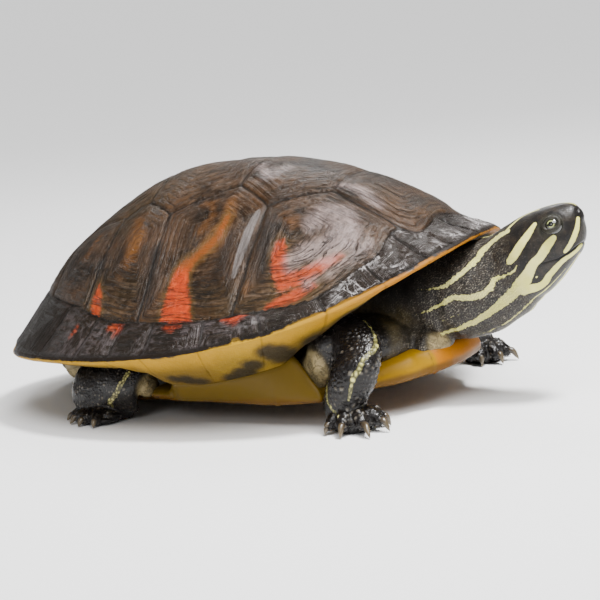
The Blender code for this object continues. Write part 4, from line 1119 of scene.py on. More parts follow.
def claw_finish(look):
    """Horn of the claws, dark at the root and pinkish at the tip."""
    horn = Finish("claw_horn", specular=0.5, coat=0.3, coat_roughness=0.15)
    clouds = horn.noise(240.0, 4.0, 0.6)
    colour = horn.coats(
        look.claw_dark,
        (horn.kept("out").between(0.25, 0.95), look.claw_pink),
        (clouds.between(0.4, 0.7) * 0.4, look.claw_dark))
    relief = horn.relief(clouds, 0.08 * MM, 0.7)
    return horn.show(Base_Color=colour, Roughness=0.32 + (clouds - 0.5) * 0.2, Normal=relief)


def floor_finish(look):
    """Plain pale floor."""
    floor = Finish("pale_floor", roughness=0.9, specular=0.2)
    clouds = floor.noise(6.0, 2.0, 0.5)
    colour = floor.mix(clouds * 0.3, look.floor, tuple(part * 0.985 for part in look.floor))
    return floor.show(Base_Color=colour)


# The carapace

def carapace_sections(columns=720):
    """Rim angles, shares of the way out, and rows of the carapace."""
    angle = np.linspace(-180, 180, columns, endpoint=False)
    shares = np.concatenate([np.linspace(0.004, 0.8, 84), np.linspace(0.81, 0.975, 26)])
    top = np.array([dome_places(share, angle) for share in shares])
    keys = lip_rows(angle)
    bend = smooth_rows(keys, np.concatenate([np.linspace(1, 3, 8), np.linspace(3, 5, 15)[1:]]))
    inside = smooth_rows(lining_rows(angle), np.linspace(0, 5, 12))
    return angle, shares, top, bend, inside


def ring_height(share, wobble):
    """Ridges of growth round a scute's areola, from 0 to 1."""
    phase = share ** 1.5 * 7.5 + wobble
    saw = phase - np.floor(phase)
    ridge = np.where(saw < 0.75, saw / 0.75, (1 - saw) / 0.25)
    return ridge * ease(share, 0.35, 0.7)


def carapace_charts(angle, shares):
    """Where places on the top of the carapace lie, on plan and in their scutes."""
    share = np.repeat(shares, len(angle))
    turn = np.tile(angle, len(shares))
    x, y = rim_plan(turn)
    x = x * share
    y = y * share
    ring = np.full(len(share), 9.0)
    number = np.zeros(len(share))
    for index, (outline, areola) in enumerate(scutes()):
        here = star_share(x, y, outline, areola)
        number = np.where(here < ring, index, number)
        ring = np.minimum(ring, here)
    inner = inner_seam(turn)
    edges = np.array([-3] + list(RIM_SEAMS), float)
    slot = np.clip(np.searchsorted(edges, np.abs(turn)) - 1, 0, len(edges) - 2)
    along = (np.abs(turn) - edges[slot]) / (edges[slot + 1] - edges[slot])
    out = np.clip((share - inner) / (1 - inner), 0, 1)
    rim_ring = np.maximum(np.maximum((0.75 - along) / 0.75, (along - 0.75) / 0.25), 1 - out)
    rim = share > inner
    ring = np.where(rim, np.clip(rim_ring, 0, 1), np.minimum(ring, 1.0))
    number = np.where(rim, 30 + slot, number)
    plan = np.stack([x, np.abs(y)], axis=-1)
    return SimpleNamespace(plan=plan, turn=turn, share=share, ring=ring, number=number, rim=rim)


def swelling(bump, share, turn):
    """A low swelling of the dome, in millimetres."""
    size, out, out_reach, angle, angle_reach = bump
    fall = ((share - out) / out_reach) ** 2 + ((np.abs(turn) - angle) / angle_reach) ** 2
    return size * np.exp(-fall)


def marks(plan, paths):
    """Millimetres inside the nearest of several strokes drawn on the shell."""
    inside = [stroke(plan, np.array(path) / 1000) for path in paths]
    return np.max(inside, axis=0) * SHELL_LENGTH / MM


def scute_relief(top, chart, seam):
    """Rise of the top in millimetres, its growth ridges, and places along its grain."""
    wobble = bumps(top, 0.028, 3) * 0.45 + bumps(top, 0.008, 4) * 0.1
    ridge = ring_height(chart.ring, wobble + chart.number * 0.37) * np.where(chart.rim, 0.6, 1.0)
    bent = chart.ring + 0.035 * bumps(top, 0.016, 23)
    grain = np.stack([bent * 3, chart.turn / 60, chart.number * 1.7], axis=-1)
    wrinkle = bumps(grain * (8, 3, 1), 1.0, 5) * ease(chart.ring, 0.1, 0.5)
    wrinkle += 0.6 * bumps(top * (0.5, 1.0, 1.0), 0.004, 6)
    lumps = bumps(top, 0.035, 7) + 0.45 * bumps(top, 0.011, 8)
    crumple = bumps(top, 0.0048, 12) + 0.6 * bumps(top, 0.0026, 14)
    rim_front = np.where(chart.rim, ease(-np.abs(chart.turn), -70, -40), 0.0)
    lift = (AREOLA_HEIGHT * (1 - chart.ring ** 5) + RIDGE_HEIGHT * ridge
            + WRINKLE_HEIGHT * wrinkle + LUMP_HEIGHT * lumps)
    lift += crumple * (CRUMPLE_HEIGHT + FRONT_CRUMPLE * rim_front
                       + np.where(chart.rim, CRUMPLE_HEIGHT, 0.0))
    depth = np.where(chart.share > inner_seam(chart.turn) + 0.02, RIM_SEAM_DEPTH, SEAM_DEPTH)
    lift -= depth * groove(seam, SEAM_WIDTH * MM)
    lift += swelling(REAR_BULGE, chart.share, chart.turn) - swelling(FRONT_DIP, chart.share, chart.turn)
    return lift * ease(chart.share, 0.0, 0.05), ridge, grain


def top_marks(chart):
    """Millimetres inside each of the colour marks of the top, by name."""
    red = np.where(chart.number >= 8, NOWHERE, marks(chart.plan, RED_BARS))
    kept = {"red": np.where(chart.rim, marks(chart.plan, RIM_MARKS), red)}
    # the sheen among these marks is a painted reflection
    for name, paths in (("warm", WARM_PATCHES), ("dark", DARK_PATCHES),
                        ("sheen", PAINTED_SHEENS), ("pale", PALE_STRIPS)):
        kept[name] = np.where(chart.rim, NOWHERE, marks(chart.plan, paths))
    return kept


def rim_smudges_and_shade(bottom):
    """Millimetres inside the nearest dark smudge under the rim; one of them is painted shade beside the
    foreleg.
    """
    mirrored = np.stack([bottom[:, 0], -np.abs(bottom[:, 1]), bottom[:, 2]], axis=-1)
    inside = [spot[3] * MM - np.linalg.norm(mirrored - body_place(spot[:3]), axis=1)
              for spot in RIM_SMUDGES_AND_SHADE]
    return np.max(inside, axis=0) / MM


def carapace_values(chart, angle, bend, seam, ridge, grain, bottom):
    """Numbers for the shader: those of the outer vertices, and that of all the others."""
    count = len(angle)
    level = (np.arange(len(bend)) / (len(bend) - 1)).repeat(count)
    above = np.interp(chart.share, (0.93, 0.98), (-4.0, -1.0))
    under = np.interp(np.arange(len(bend)), (0, 3, 5, 7), (-1.0, -0.5, 0.6, 1.5)).repeat(count)
    under += 1.0 - ease(np.abs(np.tile(angle, len(bend))), 35, 70)
    top = np.zeros(len(chart.share))
    along, beside = chart.plan.T
    fade = np.where(along < -0.1, 0.3, np.where(along < 0.14, 1 - ease(beside, 0.232, 0.272), 0.0))
    kept = {name: (values, NOWHERE) for name, values in top_marks(chart).items()}
    kept.update({
        "seam": (seam / MM, 9.0),
        "ridge": (ridge, 0.0),
        "grain": (grain, 0.0),
        "fade": (fade, 0.0),
        "under": (np.concatenate([above, under]), 1.5),
        "inward": (np.concatenate([top, ease(level, 0.22, 0.8)]), 1.0),
        "rim": (np.concatenate([top + chart.rim, np.ones(len(under))]), 0.0),
        # slate falls to 0 at the rear, where painted shade darkens the horn
        "slate": (ease(along, -0.34, -0.16), 0.0),
        "front": (ease(along, 0.12, 0.3), 0.0),
        "smudge": (np.concatenate([top + NOWHERE, rim_smudges_and_shade(bottom)]), 9.0),
    })
    return kept


def make_carapace(look):
    """Upper shell with its scutes, seams and growth rings."""
    angle, shares, top, bend, inside = carapace_sections()
    count = len(angle)
    rows = on_floor(np.concatenate([top, bend, inside]))
    outer_rows = len(shares) + len(bend)
    top_count = len(shares) * count
    normal = grid_normals(rows)
    normal[:8] = unit(np.array([math.sin(-SHELL_PITCH), 0, math.cos(SHELL_PITCH)]))
    normal = np.where((normal[:len(shares), :, 2].mean() < 0), -normal, normal)
    chart = carapace_charts(angle, shares)
    places = rows[:outer_rows].reshape(-1, 3)
    crooked = np.stack([bumps(places, 0.009, seed) for seed in (31, 32, 33)], axis=-1)
    seam = nearest_distance(places + crooked * SEAM_CROOK * MM, seam_samples())
    lift, ridge, grain = scute_relief(places[:top_count], chart, seam[:top_count])
    bottom = places[top_count:]
    under = -UNDER_SEAM_DEPTH * groove(seam[top_count:], UNDER_SEAM_WIDTH * MM)
    under += 0.35 * bumps(bottom, 0.02, 9) + 0.12 * bumps(bottom, 0.006, 10)
    rise = np.concatenate([lift, under]) * MM
    fade = np.ones(outer_rows)
    fade[-3:] = 0.3
    moved = rows.copy()
    moved[:outer_rows] += normal[:outer_rows] * (rise.reshape(outer_rows, count) * fade[:, None])[..., None]
    thing = mesh_object("shell_top", moved.reshape(-1, 3), capped_faces(len(rows), count))
    total = len(thing.data.vertices)
    kept = {"sideways": ease(np.abs(np.tile(angle, len(rows))), 35, 75)[:total]}
    for name, (values, fill) in carapace_values(chart, angle, bend, seam, ridge, grain, bottom).items():
        others = np.full((total - len(values), *values.shape[1:]), fill)
        kept[name] = np.concatenate([values, others])
    set_values(thing.data, kept)
    thing.data.materials.append(horn_finish(look))
    return thing


# The plastron

def belly_radius(angle):
    """Radius of the edge of the plastron, by rim angle."""
    x, y = rim_plan(np.abs(angle))
    polar = np.degrees(np.arctan2(y, x))
    lobe = ease_table(LOBES, polar)
    side = BELLY_HALF_WIDTH / np.maximum(np.sin(np.radians(polar)), 0.2)
    return np.minimum(lobe, side)


def belly_height(x, y):
    """Height of the lower face of the plastron."""
    front = np.clip((x - FRONT_RISE[0]) / FRONT_RISE[1], 0, 1)
    rear = np.clip((SIDE_RISE[0] - x) / SIDE_RISE[1], 0, 1)
    return FRONT_RISE[2] * front ** 2 + SIDE_RISE[2] * rear * (np.abs(y) / BELLY_HALF_WIDTH) ** 4


def belly_rows(angle):
    """Key rows of the plastron's side, from its lower edge to its top."""
    radius = belly_radius(angle)
    edge = radial(angle, radius, 0)
    low = belly_height(edge[:, 0], edge[:, 1])
    joined = bridge_share(angle)
    width, drop = lip_size(angle)
    shell_radius = np.hypot(*rim_plan(angle))
    lip_end = rim_height(angle) - EDGE_HEIGHT - drop - SHELL_GAP
    thick = BELLY_THICKNESS + FRONT_THICKER * (1 - ease(np.abs(angle), 16, 64))
    free = ((radius - 0.012, low + 0.0002), (radius + 0.001, low + thick * 0.15),
            (radius + 0.004, low + thick * 0.42), (radius - 0.006, low + thick * 0.8),
            (radius - 0.026, low + thick), (radius - 0.045, low + thick))
    wing = ((radius - 0.012, low + 0.0002), (radius + 0.002, low + 0.003), (radius + 0.012, 0.02),
            (shell_radius - width, lip_end), (shell_radius - width - STEP_IN, lip_end + STEP_UP),
            (radius - 0.022, BELLY_THICKNESS + 0 * radius))
    keys = []
    for (free_reach, free_height), (wing_reach, wing_height) in zip(free, wing):
        reach = free_reach + joined * (wing_reach - free_reach)
        height = free_height + joined * (wing_height - free_height)
        keys.append(radial(angle, reach, height))
    return np.array(keys)


def belly_values(angle, rows, seam, shares, side):
    """Numbers for the shader, for each vertex of the plastron."""
    total = len(rows) * len(angle)
    turn = np.abs(np.tile(angle, len(rows)))
    level = np.concatenate([np.zeros(len(shares)), np.linspace(0, 1, len(side)), np.ones(2)])
    level = np.repeat(level, len(angle))
    spots = rows.reshape(-1, 3)
    polar = np.degrees(np.arctan2(np.abs(spots[:, 1]), spots[:, 0] - MIDDLE[0]))
    smudge = np.full(total, NOWHERE)
    for place in BELLY_SMUDGES:
        reach = np.hypot((turn - place) / 360 * 500, (level - 0.25) * 30)
        smudge = np.maximum(smudge, 6.0 - reach)
    return {
        "seam": np.concatenate([seam / MM, np.full(total - len(seam), 9.0)]),
        "sideways": ease(level, 0.1, 0.5) * ease(turn, 42, 58),
        "front": 1 - ease(polar, 12.5, 13.5),
        "low": 1 - ease(level, 0.3, 0.62),
        "smudge": smudge,
    }


def make_plastron(look):
    """Lower shell with its plates and the bridges up to the rim."""
    angle = np.linspace(-180, 180, 540, endpoint=False)
    radius = belly_radius(angle)
    shares = np.linspace(0.01, 0.955, 60)
    flat = []
    for share in shares:
        row = radial(angle, radius * share, 0)
        row[:, 2] = belly_height(row[:, 0], row[:, 1])
        flat.append(row)
    side = smooth_rows(belly_rows(angle), np.concatenate([np.linspace(0, 3, 22), np.linspace(3, 5, 6)[1:]]))
    inner = np.array([radial(angle, radius * 0.5, BELLY_THICKNESS), radial(angle, 0.01, BELLY_THICKNESS)])
    rows = on_floor(np.concatenate([np.array(flat), side, inner]))
    outer = len(shares) + len(side)
    places = rows[:outer].reshape(-1, 3)
    seam = nearest_distance(places, belly_seam_samples())
    normal = -grid_normals(rows)
    normal[:6] = (0, 0, -1)
    rise = -BELLY_SEAM_DEPTH * groove(seam, BELLY_SEAM_WIDTH * MM) + 0.3 * bumps(places, 0.03, 11)
    rise = np.where(places[:, 2] < 0.6 * MM, np.minimum(rise, 0), rise)
    moved = rows.copy()
    moved[:outer] += normal[:outer] * (rise * MM).reshape(outer, len(angle))[..., None]
    thing = mesh_object("shell_belly", moved.reshape(-1, 3), capped_faces(len(rows), len(angle)))
    total = len(thing.data.vertices)
    values = belly_values(angle, rows, seam, shares, side)
    set_values(thing.data, {name: numbers[:total] for name, numbers in values.items()})
    thing.data.materials.append(belly_finish(look))
    return thing


def belly_seam_samples():
    """Places on the seams of the plastron, in metres on the floor."""
    paths = [[(0.43, 0.0), (-0.37, 0.0)]]
    walls = []
    for start, polar in BELLY_SEAMS:
        turn = math.radians(polar)
        lobe = float(ease_table(LOBES, np.array(float(polar))))
        reach = min(lobe, BELLY_HALF_WIDTH / max(math.sin(turn), 0.2)) + 0.01
        for side in (1, -1):
            end = (reach * math.cos(turn), reach * math.sin(turn) * side)
            bend = ((start + end[0]) / 2 - 0.012, end[1] * 0.5)
            paths.append([(start, 0.0), bend, end])
            walls += [(end[0] * share, end[1] * share, height)
                      for share in (0.97, 0.98, 0.99, 1.0) for height in np.linspace(0, 0.055, 60)]
    for side in (1, -1):
        paths.append([(0.165, 0.235 * side), (0.05, 0.25 * side), (-0.06, 0.245 * side)])
    samples = []
    for path in paths:
        plan = dense_path(path, 0.002)
        height = belly_height(plan[:, 0], plan[:, 1])
        samples.append(on_floor(np.concatenate([plan, height[:, None]], axis=1)))
    samples.append(on_floor(np.array(walls)))
    return np.concatenate(samples)


# The skin

def sided(place, side):
    """A place or direction on the right side, or mirrored."""
    return np.asarray(place, float) * (1, side, 1)


def body_place(point, side=1):
    """A place in body millimetres, in metres on the floor."""
    return sided(point, side) * MM + MIDDLE


def limb(stations, side_way=LEG_SIDE, side=1, around=40, step=0.06):
    """Vertices and faces of a limb along its stations."""
    end = len(stations) - 1
    position = np.linspace(0.0, end, max(4, int(end / step)))
    rows = smooth_rows(stations, position)
    ahead = smooth_rows(stations, position + 0.03)[:, :3] - smooth_rows(stations, position - 0.03)[:, :3]
    forward = unit(ahead * (1, side, 1))
    way = np.asarray(side_way, float)
    across = unit(way - forward * (forward @ way)[:, None])
    above = np.cross(forward, across)
    return tube(ovals(body_place(rows[:, :3], side), across, above, rows[:, 3], rows[:, 4], around, MM))


def rod(places, radii, around=18, steps=10):
    """A smooth tapering rod through a few places, in metres."""
    position = np.linspace(0, len(places) - 1, steps)
    spots = smooth_rows(places, position)
    thick = smooth_rows(np.array(radii, float)[:, None], position)[:, 0]
    forward = unit(np.gradient(spots, axis=0))
    way = np.where(np.abs(forward[:, 2:3]) > 0.9, (1.0, 0.0, 0.0), (0.0, 0.0, 1.0))
    across = unit(np.cross(way, forward))
    above = np.cross(forward, across)
    return tube(above_floor(ovals(spots, across, above, thick, thick, around)))


def head_matrix():
    """Placement of the head's own frame."""
    return Matrix.Translation(Vector(HEAD_TIP) + Vector(MIDDLE)) @ Matrix.Rotation(-HEAD_PITCH, 4, "Y")


def from_head(points):
    """Places in the head's own frame, in metres on the floor."""
    matrix = np.array(head_matrix())
    return np.asarray(points, float) @ matrix[:3, :3].T + matrix[:3, 3]


def to_head(points):
    """Places on the floor, in the head's own frame."""
    matrix = np.array(head_matrix().inverted())
    return np.asarray(points, float) @ matrix[:3, :3].T + matrix[:3, 3]


def head_rings():
    """Rings of the head: flatter on top, full at the cheeks."""
    position = np.linspace(0, len(HEAD_STATIONS) - 1, 60)
    turns = circle(72)
    rings = []
    for place, top, bottom, half_width in smooth_rows(HEAD_STATIONS, position):
        wide = np.where(np.sin(turns) > 0, 1 - 0.1 * np.sin(turns) ** 2, 1.0)
        y = half_width * signed_power(np.cos(turns), 0.9) * wide
        z = (top + bottom) / 2 + (top - bottom) / 2 * signed_power(np.sin(turns), 0.9)
        rings.append(np.stack([np.full_like(y, place), y, z], axis=-1))
    tip = rings[0].copy()
    middle = tip[:, 1:].mean(axis=0)
    tip[:, 1:] = middle + (tip[:, 1:] - middle) * 0.5
    tip[:, 0] += 0.0012
    return from_head(np.array([tip] + rings))


def eye_axes(side):
    """Centre of an eye and its look, line and height axes."""
    rotation = np.array(head_matrix())[:3, :3]
    centre = from_head(sided(EYE_CENTRE, side))
    look = unit(rotation @ sided(EYE_LOOK, side))
    line = rotation @ sided(EYE_LINE, side)
    line = unit(line - look * (look @ line))
    height = np.cross(look, line)
    height = height * math.copysign(1, height[2])
    return centre, look, line, height


def lid_tube(side):
    """Raised oval rim of one eye."""
    centre, look, line, height = eye_axes(side)
    turns = circle(56)
    path = (look * LID_DISTANCE + line * (np.cos(turns)[:, None] * LID_LENGTH)
            + height * (np.sin(turns)[:, None] * LID_HEIGHT))
    direction = unit(path)
    spots = centre + direction * (EYE_RADIUS + 0.0003)
    tangent = unit(np.roll(spots, -1, axis=0) - np.roll(spots, 1, axis=0))
    rings = ovals(spots, direction, np.cross(tangent, direction), LID_THICKNESS, LID_THICKNESS, 14)
    faces = grid_faces(len(turns) + 1, 14) % (len(turns) * 14)
    return rings.reshape(-1, 3), faces.tolist()


def toe_line(ankle, heading, toe, side, arch):
    """Root, knuckle, tip, place under the tip and direction of one toe, in body millimetres."""
    spread, reach, length, thickness, _ = toe
    turn = math.radians(heading - spread * side)
    ahead = np.array([math.cos(turn), math.sin(turn), 0.0])
    low, high, end_height = (height * thickness for height in arch)
    root = ankle * (1, 1, 0) + ahead * reach
    end = root + ahead * length
    knuckle = root + ahead * length / 2 + UP * high
    return root + UP * low, knuckle, end + UP * end_height, end, ahead


def foot(stations, heading, toes, pads, arch, side):
    """Pads, toes and webs of one foot."""
    ankle = sided(stations[-1][:3], side)
    turn = math.radians(heading)
    ahead = np.array([math.cos(turn), math.sin(turn), 0.0])
    parts = []
    for forward, length, width, height, thickness in pads:
        centre = body_place(ankle * (1, 1, 0) + ahead * forward + UP * height)
        parts.append(ball(centre, (length * MM, width * MM, thickness * MM), turn))
    lines = [toe_line(ankle, heading, toe, side, arch) for toe in toes]
    for (base, knuckle, tip, _, way), toe in zip(lines, toes):
        thickness = toe[3]
        end = tip + way * thickness * 0.6 - UP * thickness * 0.2
        spots = [body_place(spot) for spot in (base - way * 3, base, knuckle, tip, end)]
        parts.append(rod(spots, [thickness * share * MM for share in TOE_TAPER]))
    for near, far in zip(lines, lines[1:]):
        middle = (near[1] + far[1]) / 2 * (1, 1, 0) + UP * WEB_HEIGHT
        spread = np.linalg.norm((near[1] - far[1])[:2]) * 0.5
        parts.append(ball(body_place(middle), (spread * MM, spread * MM, WEB_THICKNESS * MM), turn, 20, 10))
    return [(above_floor(spots), faces) for spots, faces in parts]


def torso_piece():
    """Body inside the shell."""
    angle = np.arange(-180, 180, 4.0)
    x, y = rim_plan(angle)
    wall = ease_table(BODY_WALL, np.degrees(np.arctan2(np.abs(y), x)))
    rows = [dome_places(share, angle) - (0, 0, WALL + 0.006) for share in (0.1, 0.28, 0.54, 0.74)]
    low = radial(angle, wall - 0.02, 0)
    low[:, 2] = BELLY_THICKNESS + 0.012 + belly_height(low[:, 0], low[:, 1])
    rows += [radial(angle, np.minimum(wall + 0.012, np.hypot(x, y) - 0.075), 0.15),
             radial(angle, wall, 0.055), low, radial(angle, 0.05, BELLY_THICKNESS + 0.006)]
    return tube(on_floor(np.array(rows)))


def neck_rows():
    """Stations of the neck, into the back of the head."""
    back, top, bottom, half_width = HEAD_STATIONS[-1]
    joint = (from_head([back + 0.003, 0, (top + bottom) / 2]) - MIDDLE) / MM
    inside = (from_head([back + 0.016, 0, -0.002]) - MIDDLE) / MM
    return [*NECK, (joint[0], 0, joint[2], half_width / MM + 0.3, (top - bottom) / 2 / MM),
            (inside[0], 0, inside[2], 15.0, 16.5)]


def skin_pieces():
    """All the pieces that the skin is joined from."""
    pieces = [torso_piece(), tube(head_rings()), lid_tube(1), lid_tube(-1)]
    pieces.append(limb(neck_rows(), side_way=(0.0, 1.0, 0.0), around=72, step=0.05))
    pieces.append(limb(TAIL, side_way=(0.0, 1.0, 0.6), around=28, step=0.1))
    for side, fore, heading, _ in FORE_LIMBS:
        pieces.append(limb(fore, side=side))
        pieces += foot(fore, heading, FORE_TOES, FORE_PADS, FORE_ARCH, side)
        pieces.append(limb(HIND_LEG, side=side))
        pieces += foot(HIND_LEG, HIND_HEADING * side, HIND_TOES, HIND_PADS, HIND_ARCH, side)
        for place, radii in SKIN_PADS:
            pieces.append(ball(body_place(place, side), np.array(radii) * MM))
    return pieces


def modified(thing):
    """Keep what an object's modifiers make as its mesh."""
    graph = bpy.context.evaluated_depsgraph_get()
    data = bpy.data.meshes.new_from_object(thing.evaluated_get(graph))
    thing.modifiers.clear()
    old = thing.data
    thing.data = data
    bpy.data.meshes.remove(old)
    return thing


def one_skin(look):
    """Join the pieces in one surface."""
    places, faces = join_pieces(skin_pieces())
    thing = mesh_object("skin", places, faces, smooth=False, weld=False)
    remesh = thing.modifiers.new("Join", "REMESH")
    remesh.mode = "VOXEL"
    remesh.voxel_size = look.skin_step * MM
    return modified(thing)


def smooth_joints(thing):
    """Soften the creases of the joints, least on the head and feet."""
    places = read_vectors(thing.data.vertices, "co")
    keep = ease(to_head(places)[:, 0], -0.055, -0.04)
    low = 1 - ease(places[:, 2], 0.012, 0.022)
    weight = np.clip(1 - np.maximum(keep * 0.97, low * 0.75), 0.02, 1)
    group = thing.vertex_groups.new(name="joints")
    for step in range(1, SMOOTH_LEVELS + 1):
        chosen = np.nonzero(np.round(weight * SMOOTH_LEVELS).astype(int) == step)[0]
        if len(chosen):
            group.add(chosen.tolist(), step / SMOOTH_LEVELS, "REPLACE")
    smooth = thing.modifiers.new("Soften", "SMOOTH")
    smooth.factor = 0.5
    smooth.iterations = 14
    smooth.vertex_group = "joints"
    modified(thing)
    thing.vertex_groups.clear()


def refine_head(thing):
    """Split the faces of the head once for finer detail."""
    mesh = bmesh.new()
    mesh.from_mesh(thing.data)
    matrix = head_matrix().inverted()
    faces = [face for face in mesh.faces if (matrix @ face.calc_center_median()).x > -0.036]
    edges = list({edge for face in faces for edge in face.edges})
    bmesh.ops.subdivide_edges(mesh, edges=edges, cuts=1, use_grid_fill=True, smooth=0.6)
    mesh.to_mesh(thing.data)
    mesh.free()


def scale_cells(places, sizes, seed):
    """Scales: distance to their edges, and a number for each."""
    random = np.random.default_rng(seed)
    order = random.permutation(len(places))
    chosen = []
    for size in sorted(set(sizes.tolist())):
        group = order[sizes[order] == size]
        cell = np.floor(places[group] / (size * 0.85)).astype(np.int64)
        _, first = np.unique(cell, axis=0, return_index=True)
        chosen.append(group[first])
    chosen = np.concatenate(chosen)
    tree = search_tree(places[chosen])
    tints = random.random(len(chosen))
    edge = np.empty(len(places))
    tint = np.empty(len(places))
    for index, place in enumerate(places):
        near, far = tree.find_n(place, 2)
        edge[index] = (far[2] - near[2]) / 2
        tint[index] = tints[near[1]]
    return edge, tint


def limb_distance(places, stations, side):
    """Distance to a limb's middle line, and how far along it, in stations."""
    position = np.linspace(0, len(stations) - 1, 60)
    line = body_place(smooth_rows(stations, position)[:, :3], side)
    distance = np.linalg.norm(places[:, None] - line, axis=2)
    nearest = distance.argmin(axis=1)
    return distance[np.arange(len(places)), nearest], position[nearest]


def project_path(path, tree, side):
    """A stripe's path laid on the skin, with smooth bends."""
    fine = smooth_rows(path, np.linspace(0, len(path) - 1, (len(path) - 1) * 5 + 1))
    placed = []
    for row in fine:
        spot = tree.find_nearest(Vector(body_place(row[:3], side)))[0]
        placed.append((*spot, row[3] * MM))
    return placed


def away(places, spot, side, reach=1.0):
    """Distance of places from a spot in body millimetres, in reaches."""
    return np.linalg.norm((places - body_place(spot, side)) / np.array(reach) / MM, axis=1)


def leg_share(places, near_legs):
    """1 on the legs, 0 elsewhere and on soft skin."""
    leg = np.zeros(len(places))
    for distance, position in near_legs:
        leg = np.maximum(leg, (1 - ease(distance, 0.02, 0.026)) * ease(position, 1.0, 2.0))
    for spot, reach in PALE_FOLDS[:2]:
        for side in (1, -1):
            leg *= ease(away(places, spot, side, reach), 0.75, 1.15)
    return leg


def scale_sizes(places, near_legs, leg, inside):
    """Size of the scales in metres, largest on the front of the forelegs."""
    sizes = np.full(len(places), SMALL_SCALE * MM)
    sizes[leg > 0.5] = LEG_SCALE * MM
    shins = [(position > 2.4) & (distance < 0.02) for distance, position in near_legs[:2]]
    sizes[(shins[0] | shins[1]) & (places[:, 0] > 0.06)] = SHIN_SCALE * MM
    sizes[inside > 0.5] = HIDDEN_SCALE * MM
    return sizes


def skin_relief(places, sizes, edge, head, leg, inside):
    """Relief of scales, lumps and loose folds, in millimetres."""
    plateau = ease(edge / sizes, 0.0, 0.3)
    height = np.where(sizes > 3 * MM, SHIN_RELIEF, np.where(sizes > 2 * MM, LEG_RELIEF, SMALL_RELIEF))
    rise = (plateau - 0.6) * height * (1 - head) * (1 - inside)
    rise += 0.35 * bumps(places, 0.009, 13) * (1 - head)
    rise += 0.1 * bumps(places, 0.004, 17) * head
    folds = bumps(places * (1.0, 0.35, 0.35), 0.004, 15)
    neck = (1 - head) * ease(places[:, 0], 0.05, 0.07) * (1 - leg)
    slack = np.max([1 - ease(away(places, spot, side), *SLACK_REACH)
                    for side in (1, -1) for spot in SLACK_SPOTS], axis=0)
    return rise + 0.45 * folds * neck + 0.9 * folds * slack * (1 - leg)


def stripe_share(places, tree):
    """Millimetres inside the nearest pale stripe, less the dark tongue, with a painted highlight on it."""
    inside = []
    for paths in (HEAD_STRIPES + FORE_STRIPES + HIND_STRIPES, (DARK_CORE,), (HIGHLIGHT_DOT,)):
        laid = [project_path(path, tree, side) for side in (1, -1) for path in paths]
        inside.append(thread(places, laid, 0.25 * MM) / MM)
    stripe, tongue, dot = inside
    stripe = np.where(tongue > -0.2, np.minimum(stripe, -tongue), stripe)
    # the painted highlight on the dark tongue
    return np.maximum(stripe, dot)


def face_relief(places, head_spot):
    """Relief of the face in millimetres, its creases, painted dark as shade, and the lids."""
    line = -stroke(head_spot[:, [0, 2]], [(x, z, 0.0) for x, z in MOUTH])
    line = np.where(head_spot[:, 0] > -0.024, line, 9.0)
    rise = -MOUTH_DEPTH * groove(line, 0.45 * MM)
    crease = groove(line, 0.4 * MM)
    lids = np.zeros(len(places))
    for side in (1, -1):
        nostril = from_head(sided(NOSTRIL, side))
        pit = groove(np.linalg.norm(places - nostril, axis=1), 0.85 * MM)
        rise -= NOSTRIL_DEPTH * pit
        crease = np.maximum(crease, pit)
        centre, look, _, _ = eye_axes(side)
        offset = places - centre
        near = 1 - ease(np.linalg.norm(offset, axis=1), 0.0068, 0.0098)
        out = unit(offset) @ look
        lean = np.degrees(np.arccos(np.clip(out, -1, 1)))
        rise += near * 0.09 * np.sin(lean / 3.1 + 2.5 * bumps(places, 0.004, 21))
        lids = np.maximum(lids, near * ease(out, 0.1, 0.4))
    return rise, crease, lids


def clear_eyes(places):
    """Draw in the skin that would show through the eyes."""
    for side in (1, -1):
        centre, look, _, _ = eye_axes(side)
        offset = places - centre
        hidden = (np.linalg.norm(offset, axis=1) < EYE_RADIUS + 0.00012) & (offset @ look > 0)
        places[hidden] = centre + offset[hidden] * 0.6


def skin_marks(thing):
    """Relief of the skin, and what its vertices keep for the shader."""
    data = thing.data
    places = read_vectors(data.vertices, "co")
    head_spot = to_head(places)
    head = ease(head_spot[:, 0], -0.042, -0.03)
    near_legs = [limb_distance(places, stations, side) for stations, side in LEGS]
    leg = leg_share(places, near_legs)
    inside = shell_inside(places)
    sizes = scale_sizes(places, near_legs, leg, inside)
    edge, tint = scale_cells(places, sizes, 4)
    stripe = stripe_share(places, BVHTree.FromObject(thing, bpy.context.evaluated_depsgraph_get()))
    rise = skin_relief(places, sizes, edge, head, leg, inside)
    face, crease, lids = face_relief(places, head_spot)
    places = places + read_vectors(data.vertex_normals, "vector") * ((rise + face) * MM)[:, None]
    clear_eyes(places)
    places = above_floor(places)
    set_places(data, places)
    local = (places - MIDDLE) / MM
    soft = soft_skin(local, leg) * (1 - ease(stripe, -1.5, 0.0))
    pallor = np.max([1 - ease(away(places, spot, side, reach), 0.6, 1.1)
                     for side in (1, -1) for spot, reach in PALE_FOLDS], axis=0)
    shade = 1 - ease(local[:, 0], 88, 118)
    dull = np.where(local[:, 0] < 0, 1.0, shade * (1 - leg) + 0.3 * (local[:, 2] < 60) * (1 - head))
    set_values(data, {
        "stripe": stripe - shade * (1 - leg) * 0.9,
        "edge": edge / sizes,
        "tint": tint,
        "head": head,
        "leg": leg,
        "dull": np.clip(dull, 0, 1),
        # painted shade under the rim of the shell
        "deep": (1 - ease(local[:, 0], 100, 122)) * ease(local[:, 2], 46, 60) * (1 - leg),
        "crease": crease,
        "lids": lids,
        "soft": np.clip(np.maximum(soft, pallor * (1 - leg)) + shell_inside(places), 0, 1),
        "pallor": pallor,
        # painted contact shade near the floor
        "sole": 1 - ease(places[:, 2], 0.0005, 0.004),
    })


